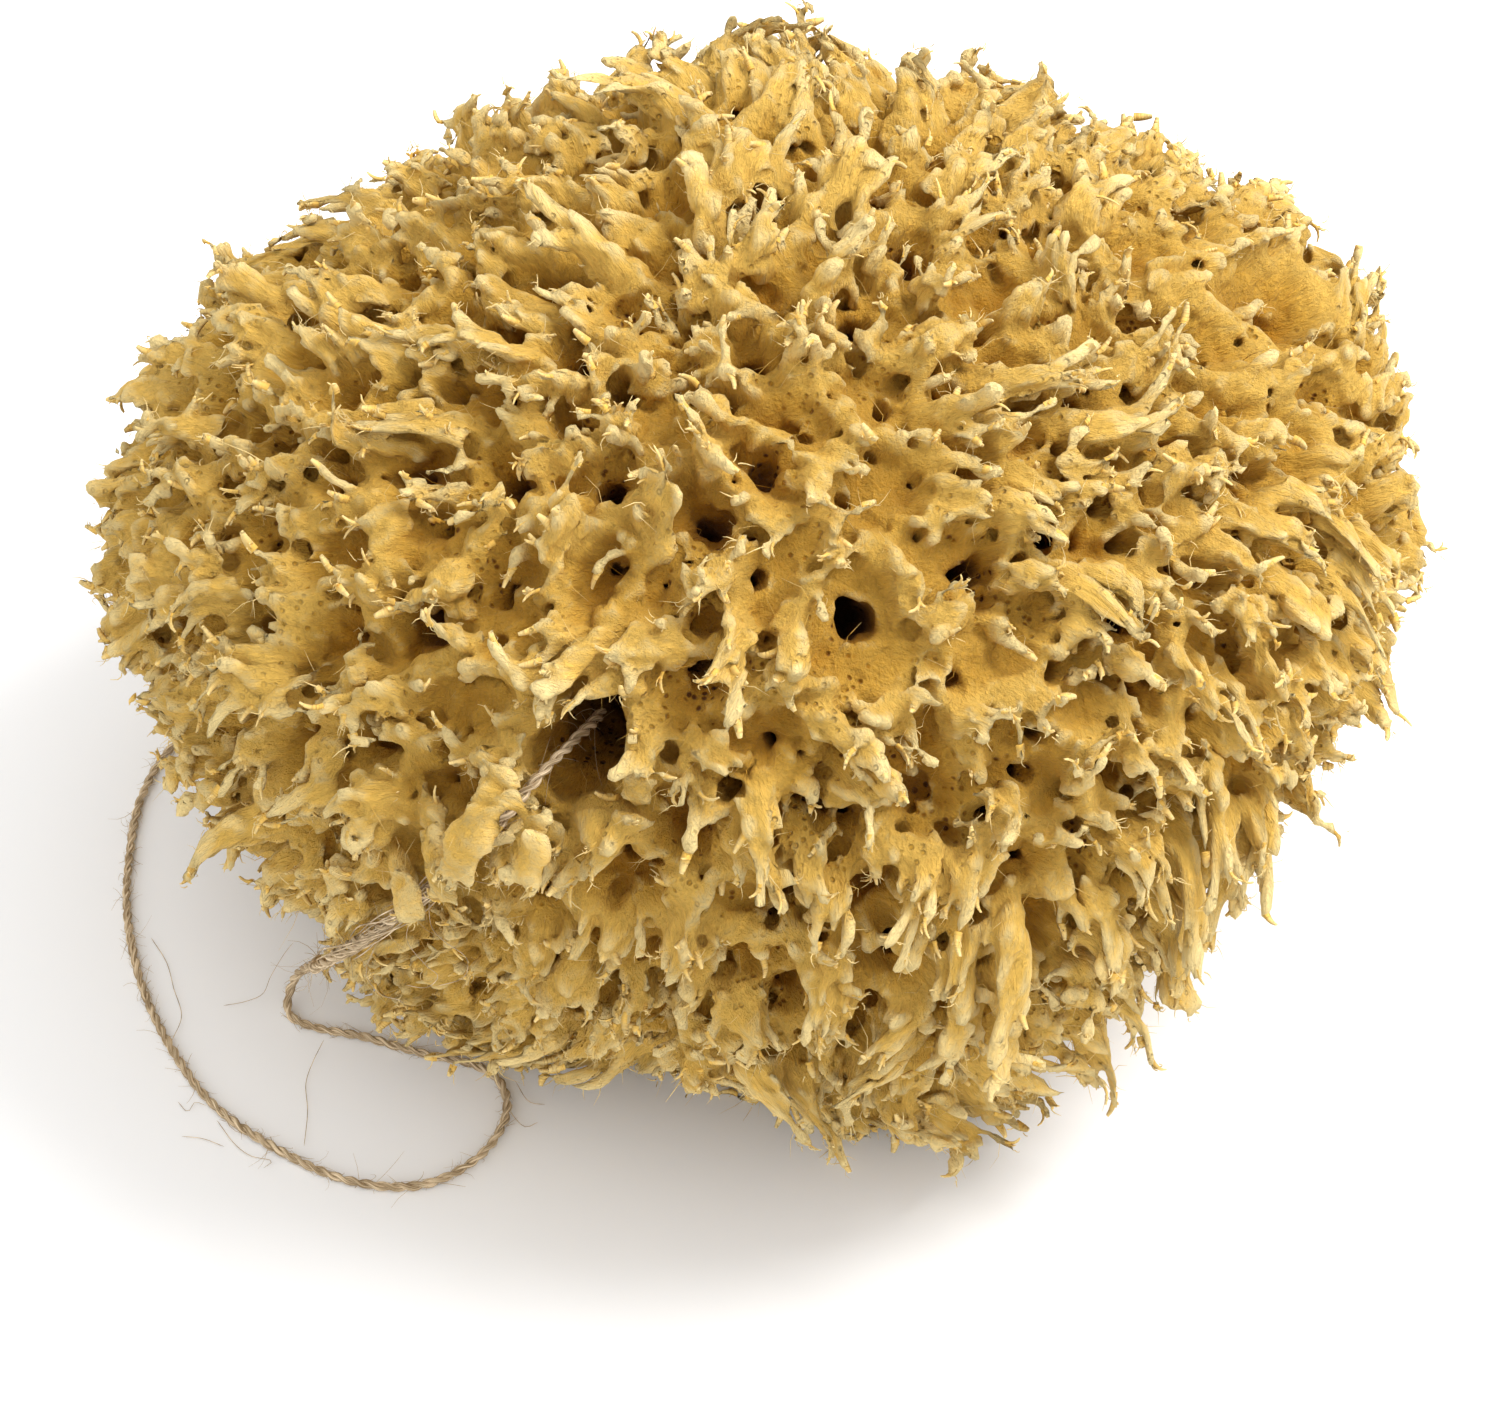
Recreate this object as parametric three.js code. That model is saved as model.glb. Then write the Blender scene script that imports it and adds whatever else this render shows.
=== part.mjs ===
// A natural wool sponge, dried and trimmed flat underneath, and the jute twine that is threaded through it.
//
// The sponge is one grown piece. A rounded body is covered by a net of low walls. The walls run round
// shallow pits and a few deep holes, and where three walls meet they rise into a pointed tuft. The net is
// a Voronoi diagram drawn on the body: a cell is a pit, the edge between two cells is a wall and a corner
// of three cells is a tuft.
//
// Millimetres, +Z up. The origin is on the surface that the sponge stands on, under the middle of the
// sponge, and the front faces -Y.

import * as THREE from "three";
import { ConvexHull } from "three/addons/math/ConvexHull.js";

// The body without its tufts, seen from the point that it grew around.
const growthHeight = 60;
const halfWidth = 92;
const halfDepth = 80;
const riseAbove = 62;
const dropBelow = 76;
const squareness = 2.25;
const skinStep = 0.03;

// Swellings and hollows of the body. Azimuth is 0 to the right (+X) and 90 to the back (+Y). Angles are in
// degrees.
const lobes = [
  { name: "right shoulder", azimuth: 22, elevation: 17, reach: 11, spread: 24 },
  { name: "left shoulder", azimuth: 176, elevation: 4, reach: 9, spread: 26 },
  { name: "crown", azimuth: 90, elevation: 62, reach: 9, spread: 26 },
  { name: "right tuck", azimuth: -26, elevation: -26, reach: -40, spread: 22 },
  { name: "front foot", azimuth: -62, elevation: -34, reach: 1, spread: 17 },
  { name: "front tuck", azimuth: -108, elevation: -36, reach: -15, spread: 20 },
  { name: "left tuck", azimuth: 206, elevation: -20, reach: -13, spread: 22 },
  { name: "left foot", azimuth: 226, elevation: -32, reach: 7, spread: 13 },
  { name: "twine valley", azimuth: 250, elevation: -2, reach: -8, spread: 13 },
];

// The net of walls, and what stands on it.
const cellCount = 580;
const cellJitter = 0.22;
const evenings = 8;
const samplesPerCell = 12;
const baseCellShare = 0.2;
const pitDepth = 5;
const wallRise = 2.5;
const tuftLength = 12;
const tuftLengthSpread = 0.3;
const tuftLean = 0.45;
const tuftStray = 0.28;
const floorClearance = 0.5;

// Deep holes, where they open on the body, with the width of the mouth and the depth below the skin.
const deepHoles = [
  { name: "twine notch", azimuth: -112, elevation: 26, width: 17, depth: 25 },
  { name: "great hole", azimuth: -78, elevation: 41, width: 14, depth: 20 },
  { name: "right hollow", azimuth: 2, elevation: 41, width: 15, depth: 13 },
  { name: "far right hollow", azimuth: 11, elevation: 28, width: 10, depth: 11 },
  { name: "crown hole", azimuth: 169, elevation: 79, width: 10, depth: 14 },
  { name: "crown twin, left", azimuth: -105, elevation: 76, width: 8, depth: 14 },
  { name: "crown twin, right", azimuth: -34, elevation: 77, width: 8, depth: 14 },
  { name: "brow hole, left", azimuth: -122, elevation: 52, width: 8, depth: 13 },
  { name: "brow hole, right", azimuth: -59, elevation: 43, width: 8, depth: 13 },
  { name: "front hole", azimuth: -89, elevation: 13, width: 10, depth: 16 },
  { name: "right eye", azimuth: -47, elevation: 25, width: 9, depth: 13 },
  { name: "back hole, upper", azimuth: 104, elevation: 38, width: 12, depth: 16 },
  { name: "back hole, lower", azimuth: 66, elevation: 6, width: 11, depth: 16 },
  { name: "left side hole", azimuth: 168, elevation: 22, width: 10, depth: 14 },
];

// Stretches where the tufts are shorter or longer than elsewhere.
const tuftPatches = [
  { name: "crown clearing", azimuth: -122, elevation: 67, spread: 11, factor: 0.45 },
  { name: "right clearing", azimuth: 10, elevation: 36, spread: 13, factor: 0.55 },
  { name: "brow clearing", azimuth: -78, elevation: 47, spread: 9, factor: 0.6 },
  { name: "below the notch", azimuth: -116, elevation: 14, spread: 8, factor: 0.6 },
  { name: "under the twine", azimuth: -128, elevation: -4, spread: 9, factor: 0.65 },
  { name: "left foot", azimuth: -140, elevation: -24, spread: 9, factor: 0.75 },
  { name: "front skirt", azimuth: -66, elevation: -24, spread: 18, factor: 1.25 },
];

// The twine. It leaves the notch, comes down over the tufts, lies in a loop on the floor and goes back in
// on the left.
const twineDiameter = 1.6;
const twineSides = 8;
const twineStep = 4;
const twineRoute = [
  [-22.5, -55.5, 90],
  [-25.5, -63, 93],
  [-31, -72, 94],
  [-38, -77.5, 88],
  [-43.5, -77.5, 80.5],
  [-49, -77, 73],
  [-54.7, -75, 64.5],
  [-61.5, -71, 54],
  [-68.3, -65.2, 41.6],
  [-70, -54, 29.5],
  [-72, -45.5, 18],
  [-75, -41, 11],
  [-77.2, -39, 6.5],
  [-78.6, -39.2, 3],
  [-79, -41, 1.3],
  [-78.2, -43.4, 0.9],
  [-73.5, -45.8, 0.9],
  [-66, -47.5, 0.9],
  [-60, -49.5, 0.9],
  [-54, -51.5, 0.9],
  [-48, -53, 0.9],
  [-43, -56, 0.9],
  [-41, -61, 0.9],
  [-42, -67, 0.9],
  [-46, -73, 0.9],
  [-54, -77.5, 0.9],
  [-65.5, -76.8, 0.9],
  [-78, -70.5, 0.9],
  [-89, -62, 0.9],
  [-98, -49.5, 0.9],
  [-104.5, -36, 0.9],
  [-108.5, -22, 0.9],
  [-110, -8, 0.9],
  [-109.5, 6, 0.9],
  [-106, 17, 0.9],
  [-99, 24.5, 1.6],
  [-89, 28, 6.5],
  [-77, 28.5, 14.5],
];

const randomSeed = 20;

// A small repeatable random source, from 0 to 1.
function randomSource(seed) {
  let state = seed;
  return () => {
    state = (state + 0x6d2b79f5) | 0;
    let mixed = Math.imul(state ^ (state >>> 15), state | 1);
    mixed ^= mixed + Math.imul(mixed ^ (mixed >>> 7), mixed | 61);
    return ((mixed ^ (mixed >>> 14)) >>> 0) / 2 ** 32;
  };
}

const random = randomSource(randomSeed);

// A random number from -1 to 1.
function stray() {
  return 2 * random() - 1;
}

// A small vector that points anywhere.
function strayVector() {
  return new THREE.Vector3(stray(), stray(), stray());
}

// The unit vector of an azimuth and an elevation.
function direction({ azimuth, elevation }) {
  const polar = THREE.MathUtils.degToRad(90 - elevation);
  const around = THREE.MathUtils.degToRad(azimuth);
  return new THREE.Vector3(
    Math.sin(polar) * Math.cos(around),
    Math.sin(polar) * Math.sin(around),
    Math.cos(polar),
  );
}

// A soft bump: 1 in the middle of a patch, fading out at about twice its spread.
function closeness(d, patch) {
  const angle = THREE.MathUtils.radToDeg(d.angleTo(direction(patch)));
  return Math.exp(-((angle / patch.spread) ** 2));
}

// How far the skin is from the growth centre, before the underside is trimmed.
function grownRadius(d) {
  const halfHeight = d.z > 0 ? riseAbove : dropBelow;
  const sum =
    Math.abs(d.x / halfWidth) ** squareness +
    Math.abs(d.y / halfDepth) ** squareness +
    Math.abs(d.z / halfHeight) ** squareness;
  const swelling = lobes.reduce((total, lobe) => total + lobe.reach * closeness(d, lobe), 0);
  return sum ** (-1 / squareness) + swelling;
}

// Whether the trim cuts the skin off in this direction.
function isTrimmed(d) {
  return grownRadius(d) * -d.z >= growthHeight;
}

// The point of the skin in a direction. The trimmed face is flat, at height 0.
function skinPoint(d) {
  if (isTrimmed(d)) return new THREE.Vector3(d.x, d.y, 0).multiplyScalar(growthHeight / -d.z);
  const point = d.clone().multiplyScalar(grownRadius(d));
  point.z += growthHeight;
  return point;
}

// The outward normal of the skin in a direction, as long as the area that a small step each way covers.
function skinPatch(d) {
  const east = new THREE.Vector3(-d.y, d.x, 0).setLength(skinStep);
  const north = new THREE.Vector3().crossVectors(d, east).setLength(skinStep);
  const moved = (offset) => skinPoint(d.clone().add(offset).normalize());
  const across = moved(east).sub(moved(east.clone().negate()));
  const along = moved(north).sub(moved(north.clone().negate()));
  return across.cross(along);
}

// Directions on a golden spiral, evenly spread over the sphere.
function spiralDirections(count) {
  const goldenAngle = Math.PI * (3 - Math.sqrt(5));
  return Array.from({ length: count }, (_, i) => {
    const z = 1 - (2 * i + 1) / count;
    const radius = Math.sqrt(1 - z * z);
    return new THREE.Vector3(Math.cos(i * goldenAngle) * radius, Math.sin(i * goldenAngle) * radius, z);
  });
}

// Which of the middles is nearest to a direction.
function nearest(middles, d) {
  let best = 0;
  middles.forEach((middle, i) => {
    if (middle.dot(d) > middles[best].dot(d)) best = i;
  });
  return best;
}

// The middles of the cells. Samples of the skin, each weighing as much as the area around it, pull every
// middle to the centre of its own cell, so that the cells become even in size on the skin. The trimmed face
// needs few cells.
function evenMiddles() {
  const samples = spiralDirections(cellCount * samplesPerCell).map((d) => {
    const area = skinPatch(d).length();
    return { d, weight: isTrimmed(d) ? area * baseCellShare : area };
  });
  const total = samples.reduce((sum, sample) => sum + sample.weight, 0);
  let passed = 0;
  let middles = samples
    .filter(({ weight }) => {
      const before = Math.floor((passed / total) * cellCount);
      passed += weight;
      return Math.floor((passed / total) * cellCount) > before;
    })
    .map(({ d }) => d.clone());
  for (let evening = 0; evening < evenings; evening++) {
    const sums = middles.map(() => new THREE.Vector3());
    samples.forEach(({ d, weight }) => sums[nearest(middles, d)].addScaledVector(d, weight));
    middles = sums.map((sum) => sum.normalize());
  }
  return middles;
}

// Every cell: a deep hole in its own place, and shallow pits wherever a deep hole's mouth leaves room.
function makeCells() {
  const shift = cellJitter * Math.sqrt((4 * Math.PI) / cellCount);
  const holes = deepHoles.map((hole) => ({ d: direction(hole), depth: hole.depth, width: hole.width }));
  const pits = evenMiddles()
    .map((d) => d.addScaledVector(strayVector(), shift).normalize())
    .filter((d) => holes.every((hole) => d.angleTo(hole.d) > hole.width / grownRadius(hole.d)))
    .map((d) => ({ d, depth: pitDepth }));
  return [...holes, ...pits];
}

// The Voronoi diagram of the cells: its corners, and its edges with the cells on the left and on the right.
function voronoi(cells) {
  const cellOf = new Map(cells.map((cell) => [cell.d, cell]));
  const hull = new ConvexHull().setFromPoints(cells.map((cell) => cell.d));
  const corners = hull.faces.map((face) => ({ d: face.normal.clone() }));
  const cornerOf = new Map(hull.faces.map((face, i) => [face, corners[i]]));
  const edges = [];
  hull.faces.forEach((face) => {
    [0, 1, 2].forEach((i) => {
      const side = face.getEdge(i);
      const here = cornerOf.get(face);
      const there = cornerOf.get(side.twin.face);
      if (corners.indexOf(here) < corners.indexOf(there)) {
        const left = cellOf.get(side.tail().point);
        const right = cellOf.get(side.head().point);
        edges.push({ here, there, left, right });
      }
    });
  });
  return { corners, edges };
}

// A pit's floor, sunk straight towards the growth centre.
function pitPoint({ d, depth }) {
  return isTrimmed(d) ? skinPoint(d) : skinPoint(d).addScaledVector(d, -depth);
}

// A point that stands out of the skin, kept off the floor beyond the trimmed face.
function raised(d, growth, length) {
  if (isTrimmed(d)) return skinPoint(d);
  const point = skinPoint(d).addScaledVector(growth, length);
  point.z = Math.max(point.z, floorClearance);
  return point;
}

// The middle of a wall's top.
function wallPoint(d) {
  return raised(d, skinPatch(d).normalize(), wallRise);
}

// A tuft's tip. Tufts lean away from the crown, each in its own way.
function tuftPoint(d) {
  const factors = tuftPatches.map((patch) => 1 + (patch.factor - 1) * closeness(d, patch));
  const length = factors.reduce((a, b) => a * b, tuftLength * (1 + tuftLengthSpread * stray()));
  const growth = skinPatch(d).normalize();
  growth.addScaledVector(new THREE.Vector3(d.x, d.y, 0), tuftLean);
  growth.addScaledVector(strayVector(), tuftStray);
  return raised(d, growth.normalize(), length);
}

// The whole sponge: four triangles for each wall, from its middle and its two tufts down to the pits on
// either side.
function spongeGeometry() {
  const cells = makeCells();
  const { corners, edges } = voronoi(cells);
  cells.forEach((cell) => (cell.pit = pitPoint(cell)));
  corners.forEach((corner) => (corner.tip = tuftPoint(corner.d)));
  const points = edges.flatMap(({ here, there, left, right }) => {
    const wall = wallPoint(here.d.clone().add(there.d).normalize());
    return [
      [left.pit, wall, here.tip],
      [left.pit, there.tip, wall],
      [right.pit, here.tip, wall],
      [right.pit, wall, there.tip],
    ].flat();
  });
  const geometry = new THREE.BufferGeometry().setFromPoints(points);
  geometry.computeVertexNormals();
  geometry.computeBoundingBox();
  const middle = geometry.boundingBox.getCenter(new THREE.Vector3());
  return geometry.translate(-middle.x, -middle.y, 0);
}

// The twine: a round section carried along its route.
function twineGeometry() {
  const route = new THREE.CatmullRomCurve3(twineRoute.map((point) => new THREE.Vector3(...point)));
  const section = new THREE.Shape(
    Array.from({ length: twineSides }, (_, i) => {
      const turn = (2 * Math.PI * i) / twineSides;
      return new THREE.Vector2(Math.cos(turn), Math.sin(turn)).multiplyScalar(twineDiameter / 2);
    }),
  );
  const steps = Math.round(route.getLength() / twineStep);
  return new THREE.ExtrudeGeometry(section, { extrudePath: route, steps, bevelEnabled: false });
}

const driedFibre = new THREE.MeshStandardMaterial({ color: 0xd9ae63, roughness: 0.95, metalness: 0 });
const jute = new THREE.MeshStandardMaterial({ color: 0xb6a792, roughness: 0.9, metalness: 0 });

const sponge = new THREE.Mesh(spongeGeometry(), driedFibre);
sponge.name = "sponge";

const twine = new THREE.Mesh(twineGeometry(), jute);
twine.name = "twine";

const seaSponge = new THREE.Group();
seaSponge.add(sponge, twine);

export default seaSponge;
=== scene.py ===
# %% [markdown]
# # A dried wool sponge with its loop of twine
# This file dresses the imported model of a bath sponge. The model gives the true size, the place of every
# tuft and pit, and the twine's route. The cells below turn it into felted fibre and twisted jute.
# Lengths in the scene are metres. The sponge's own forms are worked out in millimetres, which are easier
# to picture, and turned into metres at the end.

# %% Load the frame
import math

import bmesh
import bpy
import numpy as np
import openvdb
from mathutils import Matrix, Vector
from mathutils.kdtree import KDTree


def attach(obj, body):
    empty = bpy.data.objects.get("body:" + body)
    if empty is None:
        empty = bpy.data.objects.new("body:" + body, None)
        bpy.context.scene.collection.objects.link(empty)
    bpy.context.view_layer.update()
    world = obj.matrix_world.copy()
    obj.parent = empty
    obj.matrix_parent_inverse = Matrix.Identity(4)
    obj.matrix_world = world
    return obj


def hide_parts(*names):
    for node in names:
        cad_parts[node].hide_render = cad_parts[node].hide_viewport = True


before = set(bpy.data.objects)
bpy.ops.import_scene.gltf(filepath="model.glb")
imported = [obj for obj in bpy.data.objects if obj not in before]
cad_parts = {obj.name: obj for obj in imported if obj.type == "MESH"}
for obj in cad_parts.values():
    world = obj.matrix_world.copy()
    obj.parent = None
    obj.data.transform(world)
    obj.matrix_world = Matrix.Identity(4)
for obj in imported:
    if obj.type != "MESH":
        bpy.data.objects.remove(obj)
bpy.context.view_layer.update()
MM = 0.001
scene = bpy.context.scene

# %% [markdown]
# ## Camera
# The picture looks down on the sponge from the front at about 45 degrees, with the sponge a little above
# the middle of the frame. A long lens keeps the dome from bulging. The camera aims a little below the
# sponge, so no lens shift is needed.

# %% Camera
PICTURE_WIDTH = 1500
SENSOR_WIDTH = 36
PIXELS_PER_MM = 6.1
VIEW_ELEVATION = math.radians(45)
VIEW_DISTANCE = 0.56
SPONGE_MIDDLE = Vector((0, 0, 0.062))
LOOK_AT = Vector((-0.0011, -0.0152, 0.0468))

toward_camera = Vector((0, -math.cos(VIEW_ELEVATION), math.sin(VIEW_ELEVATION)))
camera_data = bpy.data.cameras.new("camera")
camera_data.sensor_width = SENSOR_WIDTH
camera_data.lens = PIXELS_PER_MM / MM * VIEW_DISTANCE / PICTURE_WIDTH * SENSOR_WIDTH
camera = bpy.data.objects.new("camera", camera_data)
camera.location = SPONGE_MIDDLE + toward_camera * VIEW_DISTANCE
camera.rotation_euler = (camera.location - LOOK_AT).to_track_quat("Z", "Y").to_euler()
scene.collection.objects.link(camera)
scene.camera = camera
print("lens, mm:", round(camera_data.lens, 1))

# %% [markdown]
# ## Small tools for meshes and random numbers
# Everything random comes from one seeded generator, so the sponge is the same each time. Meshes are made
# from arrays of points and faces, because that is quick for hundreds of thousands of faces.

# %% Mesh helpers
SEED = 8
rng = np.random.default_rng(SEED)


def add_object(name, mesh):
    """Puts a mesh in the scene, smooth-shaded, at the origin."""
    thing = bpy.data.objects.new(name, mesh)
    scene.collection.objects.link(thing)
    mesh.shade_smooth()
    return thing


def make_mesh(name, points, faces):
    """A mesh from points in metres and faces that all have the same number of corners."""
    mesh = bpy.data.meshes.new(name)
    mesh.vertices.add(len(points))
    mesh.vertices.foreach_set("co", np.ascontiguousarray(points, np.float32).ravel())
    corners = faces.shape[1]
    mesh.loops.add(faces.size)
    mesh.loops.foreach_set("vertex_index", np.ascontiguousarray(faces, np.int32).ravel())
    mesh.polygons.add(len(faces))
    mesh.polygons.foreach_set("loop_start", np.arange(0, faces.size, corners, dtype=np.int32))
    mesh.update(calc_edges=True)
    return mesh


def read_points(mesh):
    """A mesh's vertices as an array."""
    points = np.zeros(len(mesh.vertices) * 3, np.float32)
    mesh.vertices.foreach_get("co", points)
    return points.reshape(-1, 3)


def write_vector(mesh, name, values):
    """Keeps one vector for each vertex, which a material can read by name."""
    layer = mesh.attributes.new(name, "FLOAT_VECTOR", "POINT")
    layer.data.foreach_set("vector", np.ascontiguousarray(values, np.float32).ravel())


def write_number(mesh, name, values):
    """Keeps one number for each vertex, which a material can read by name."""
    layer = mesh.attributes.new(name, "FLOAT", "POINT")
    layer.data.foreach_set("value", np.ascontiguousarray(values, np.float32))


print("random numbers start from seed", SEED)


# %% Vectors, and random vectors that change smoothly
def unit(vectors):
    """Vectors made one long."""
    return vectors / np.maximum(np.linalg.norm(vectors, axis=-1, keepdims=True), 1e-9)


LATTICE_SIZE = 4096
LATTICE_STEPS = (73856093, 19349663, 83492791)


def drift(points, wavelength, seed):
    """Smooth random vectors in space, between -1 and 1: a lattice of random vectors, blended."""
    table = np.random.default_rng(seed).uniform(-1, 1, (LATTICE_SIZE, 3)).astype(np.float32)
    scaled = points / wavelength
    cell = np.floor(scaled).astype(np.int64)
    part = (scaled - cell).astype(np.float32)
    part = part * part * (3 - 2 * part)
    result = np.zeros(points.shape, np.float32)
    for corner in np.ndindex(2, 2, 2):
        at = cell + corner
        mixed = at * LATTICE_STEPS
        key = mixed[:, 0] ^ mixed[:, 1] ^ mixed[:, 2]
        weight = np.prod(np.where(corner, part, 1 - part), axis=1)
        result += table[key & (LATTICE_SIZE - 1)] * weight[:, None]
    return result


print("random lattice:", LATTICE_SIZE, "vectors")

# %% [markdown]
# ## The twine
# The twine is two-ply jute, 1.6 mm across. It comes out of the notch, climbs down over the tufts, lies in
# a loop on the floor and goes back under the left side. Its route is the imported model's route. Each ply is
# a tube that winds round the route, so the two plies make the ridged look of real twine by themselves.
# The cord is made first, because the groove for it in the sponge is carved along its line later.

# %% The twine's route
twine_route = [
    (-0.0225, -0.0555, 0.0900),
    (-0.0255, -0.0630, 0.0930),
    (-0.0310, -0.0720, 0.0940),
    (-0.0380, -0.0775, 0.0880),
    (-0.0435, -0.0775, 0.0805),
    (-0.0490, -0.0770, 0.0730),
    (-0.0547, -0.0750, 0.0645),
    (-0.0615, -0.0710, 0.0540),
    (-0.0683, -0.0652, 0.0416),
    (-0.0700, -0.0540, 0.0295),
    (-0.0720, -0.0455, 0.0180),
    (-0.0750, -0.0410, 0.0110),
    (-0.0772, -0.0390, 0.0065),
    (-0.0786, -0.0392, 0.0030),
    (-0.0790, -0.0410, 0.0013),
    (-0.0782, -0.0434, 0.0009),
    (-0.0735, -0.0458, 0.0009),
    (-0.0660, -0.0475, 0.0009),
    (-0.0600, -0.0495, 0.0009),
    (-0.0540, -0.0515, 0.0009),
    (-0.0480, -0.0530, 0.0009),
    (-0.0430, -0.0560, 0.0009),
    (-0.0410, -0.0610, 0.0009),
    (-0.0420, -0.0670, 0.0009),
    (-0.0460, -0.0730, 0.0009),
    (-0.0540, -0.0775, 0.0009),
    (-0.0655, -0.0768, 0.0009),
    (-0.0780, -0.0705, 0.0009),
    (-0.0890, -0.0620, 0.0009),
    (-0.0980, -0.0495, 0.0009),
    (-0.1045, -0.0360, 0.0009),
    (-0.1085, -0.0220, 0.0009),
    (-0.1100, -0.0080, 0.0009),
    (-0.1095, 0.0060, 0.0009),
    (-0.1060, 0.0170, 0.0009),
    (-0.0990, 0.0245, 0.0016),
    (-0.0890, 0.0280, 0.0065),
    (-0.0770, 0.0285, 0.0145),
]


print("points on the route:", len(twine_route))

# %% A smooth line through the route
POINTS_PER_SPAN = 40


def smooth_line(points, step):
    """Points a step apart on a centripetal Catmull-Rom curve, which passes through every given point."""
    given = np.array(points)
    given = np.vstack([2 * given[0] - given[1], given, 2 * given[-1] - given[-2]])
    knots = np.concatenate([[0], np.cumsum(np.linalg.norm(np.diff(given, axis=0), axis=1) ** 0.5)])
    dense = []
    for i in range(1, len(given) - 2):
        t0, t1, t2, t3 = knots[i - 1 : i + 3]
        p0, p1, p2, p3 = given[i - 1 : i + 3]
        t = np.linspace(t1, t2, POINTS_PER_SPAN, endpoint=False)[:, None]
        a1 = (t1 - t) / (t1 - t0) * p0 + (t - t0) / (t1 - t0) * p1
        a2 = (t2 - t) / (t2 - t1) * p1 + (t - t1) / (t2 - t1) * p2
        a3 = (t3 - t) / (t3 - t2) * p2 + (t - t2) / (t3 - t2) * p3
        b1 = (t2 - t) / (t2 - t0) * a1 + (t - t0) / (t2 - t0) * a2
        b2 = (t3 - t) / (t3 - t1) * a2 + (t - t1) / (t3 - t1) * a3
        dense.append((t2 - t) / (t2 - t1) * b1 + (t - t1) / (t2 - t1) * b2)
    dense = np.vstack([*dense, given[-2]])
    run = np.concatenate([[0], np.cumsum(np.linalg.norm(np.diff(dense, axis=0), axis=1))])
    even = np.linspace(0, run[-1], round(run[-1] / step) + 1)
    return np.stack([np.interp(even, run, dense[:, axis]) for axis in range(3)], axis=1)


TWINE_STEP = 0.0006
twine_line = smooth_line(twine_route, TWINE_STEP)
twine_length = float(np.linalg.norm(np.diff(twine_line, axis=0), axis=1).sum())
print("twine length, mm:", round(twine_length / MM))


# %% [markdown]
# ## The two plies
# Jute twine is two yarns laid round each other. One tube with a striped colour could pass for it from afar,
# but two real tubes show the groove between the yarns from every side. Where the twine is worn, between the
# notch and the floor, the plies stand further apart.

# %% Tubes along a line
def frames_along(line):
    """For each point of a line: its direction and two sideways vectors that turn as little as possible."""
    forward = unit(np.gradient(line, axis=0))
    side = np.zeros_like(line)
    side[0] = unit(np.cross(forward[0], [0, 0, 1]))
    for i in range(1, len(line)):
        side[i] = unit(side[i - 1] - forward[i] * np.dot(side[i - 1], forward[i]))
    return forward, side, np.cross(forward, side)


def tube(line, radii, sides):
    """Points and quads of an open tube round a line, with its own radius at each point of the line."""
    _, side, up = frames_along(line)
    turn = np.linspace(0, 2 * np.pi, sides, endpoint=False)
    round_it = side[:, None] * np.cos(turn)[:, None] + up[:, None] * np.sin(turn)[:, None]
    points = line[:, None] + round_it * np.asarray(radii)[:, None, None]
    ring, step = np.meshgrid(np.arange(len(line) - 1), np.arange(sides), indexing="ij")
    after = (step + 1) % sides
    quads = np.stack([ring * sides + step, (ring + 1) * sides + step,
                      (ring + 1) * sides + after, ring * sides + after], -1)
    return points.reshape(-1, 3), quads.reshape(-1, 4)


def join_tubes(name, tubes):
    """One mesh of several tubes, each given as its points and quads."""
    starts = np.cumsum([0] + [len(points) for points, _ in tubes])
    quads = [quads + start for (_, quads), start in zip(tubes, starts)]
    return make_mesh(name, np.vstack([points for points, _ in tubes]), np.vstack(quads))


sample_line = np.array([[0, 0, 0], [0, 0.001, 0], [0, 0.002, 0]])
print("points and faces of a short tube:", [len(part) for part in tube(sample_line, [1, 1, 1], 6)])

# %% Twist the two plies
PLY_RADIUS = 0.00043
PLY_OFFSET = 0.00036
TWIST_LENGTH = 0.0052
PLY_SIDES = 10
FRAYED_AT = [0, 0.03, 0.04, 0.075, 0.09, 0.115]
FRAYED_BY = [0.2, 0.4, 1, 1, 0.7, 0]

run = np.linspace(0, twine_length, len(twine_line))
twine_way, twine_side, twine_up = frames_along(twine_line)
frayed = np.interp(run, FRAYED_AT, FRAYED_BY)
plies, ply_run, ply_around = [], [], []
for ply in range(2):
    turn = 2 * np.pi * run / TWIST_LENGTH + ply * np.pi
    offset = PLY_OFFSET * (1 + frayed * (0.7 + 0.5 * np.sin(run / 0.0037 + ply)))
    spin = twine_side * np.cos(turn)[:, None] + twine_up * np.sin(turn)[:, None]
    centre = twine_line + spin * offset[:, None]
    thickness = PLY_RADIUS * (1 + 0.1 * np.sin(run / 0.0011 + 3 * ply) + 0.08 * np.sin(run / 0.0041 + ply))
    thickness[[0, -1]] *= 0.3
    plies.append(tube(centre, thickness, PLY_SIDES))
    ply_run.append(np.repeat(run, PLY_SIDES))
    ply_around.append(np.tile(np.arange(PLY_SIDES) / PLY_SIDES, len(run)))
twine_mesh = join_tubes("twine_plies", plies)
write_number(twine_mesh, "run", np.concatenate(ply_run) / MM)
write_number(twine_mesh, "around", np.concatenate(ply_around))
twine = add_object("twine_plies", twine_mesh)
print("twine faces:", len(twine_mesh.polygons))

# %% [markdown]
# ## Reading the sponge's net
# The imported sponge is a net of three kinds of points. A wall's middle touches four edges, a tuft's tip
# touches six, and a pit touches eight or more, so counting edges tells them apart. From that net come the
# walls, the tufts and the pits that are modelled below.

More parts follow.
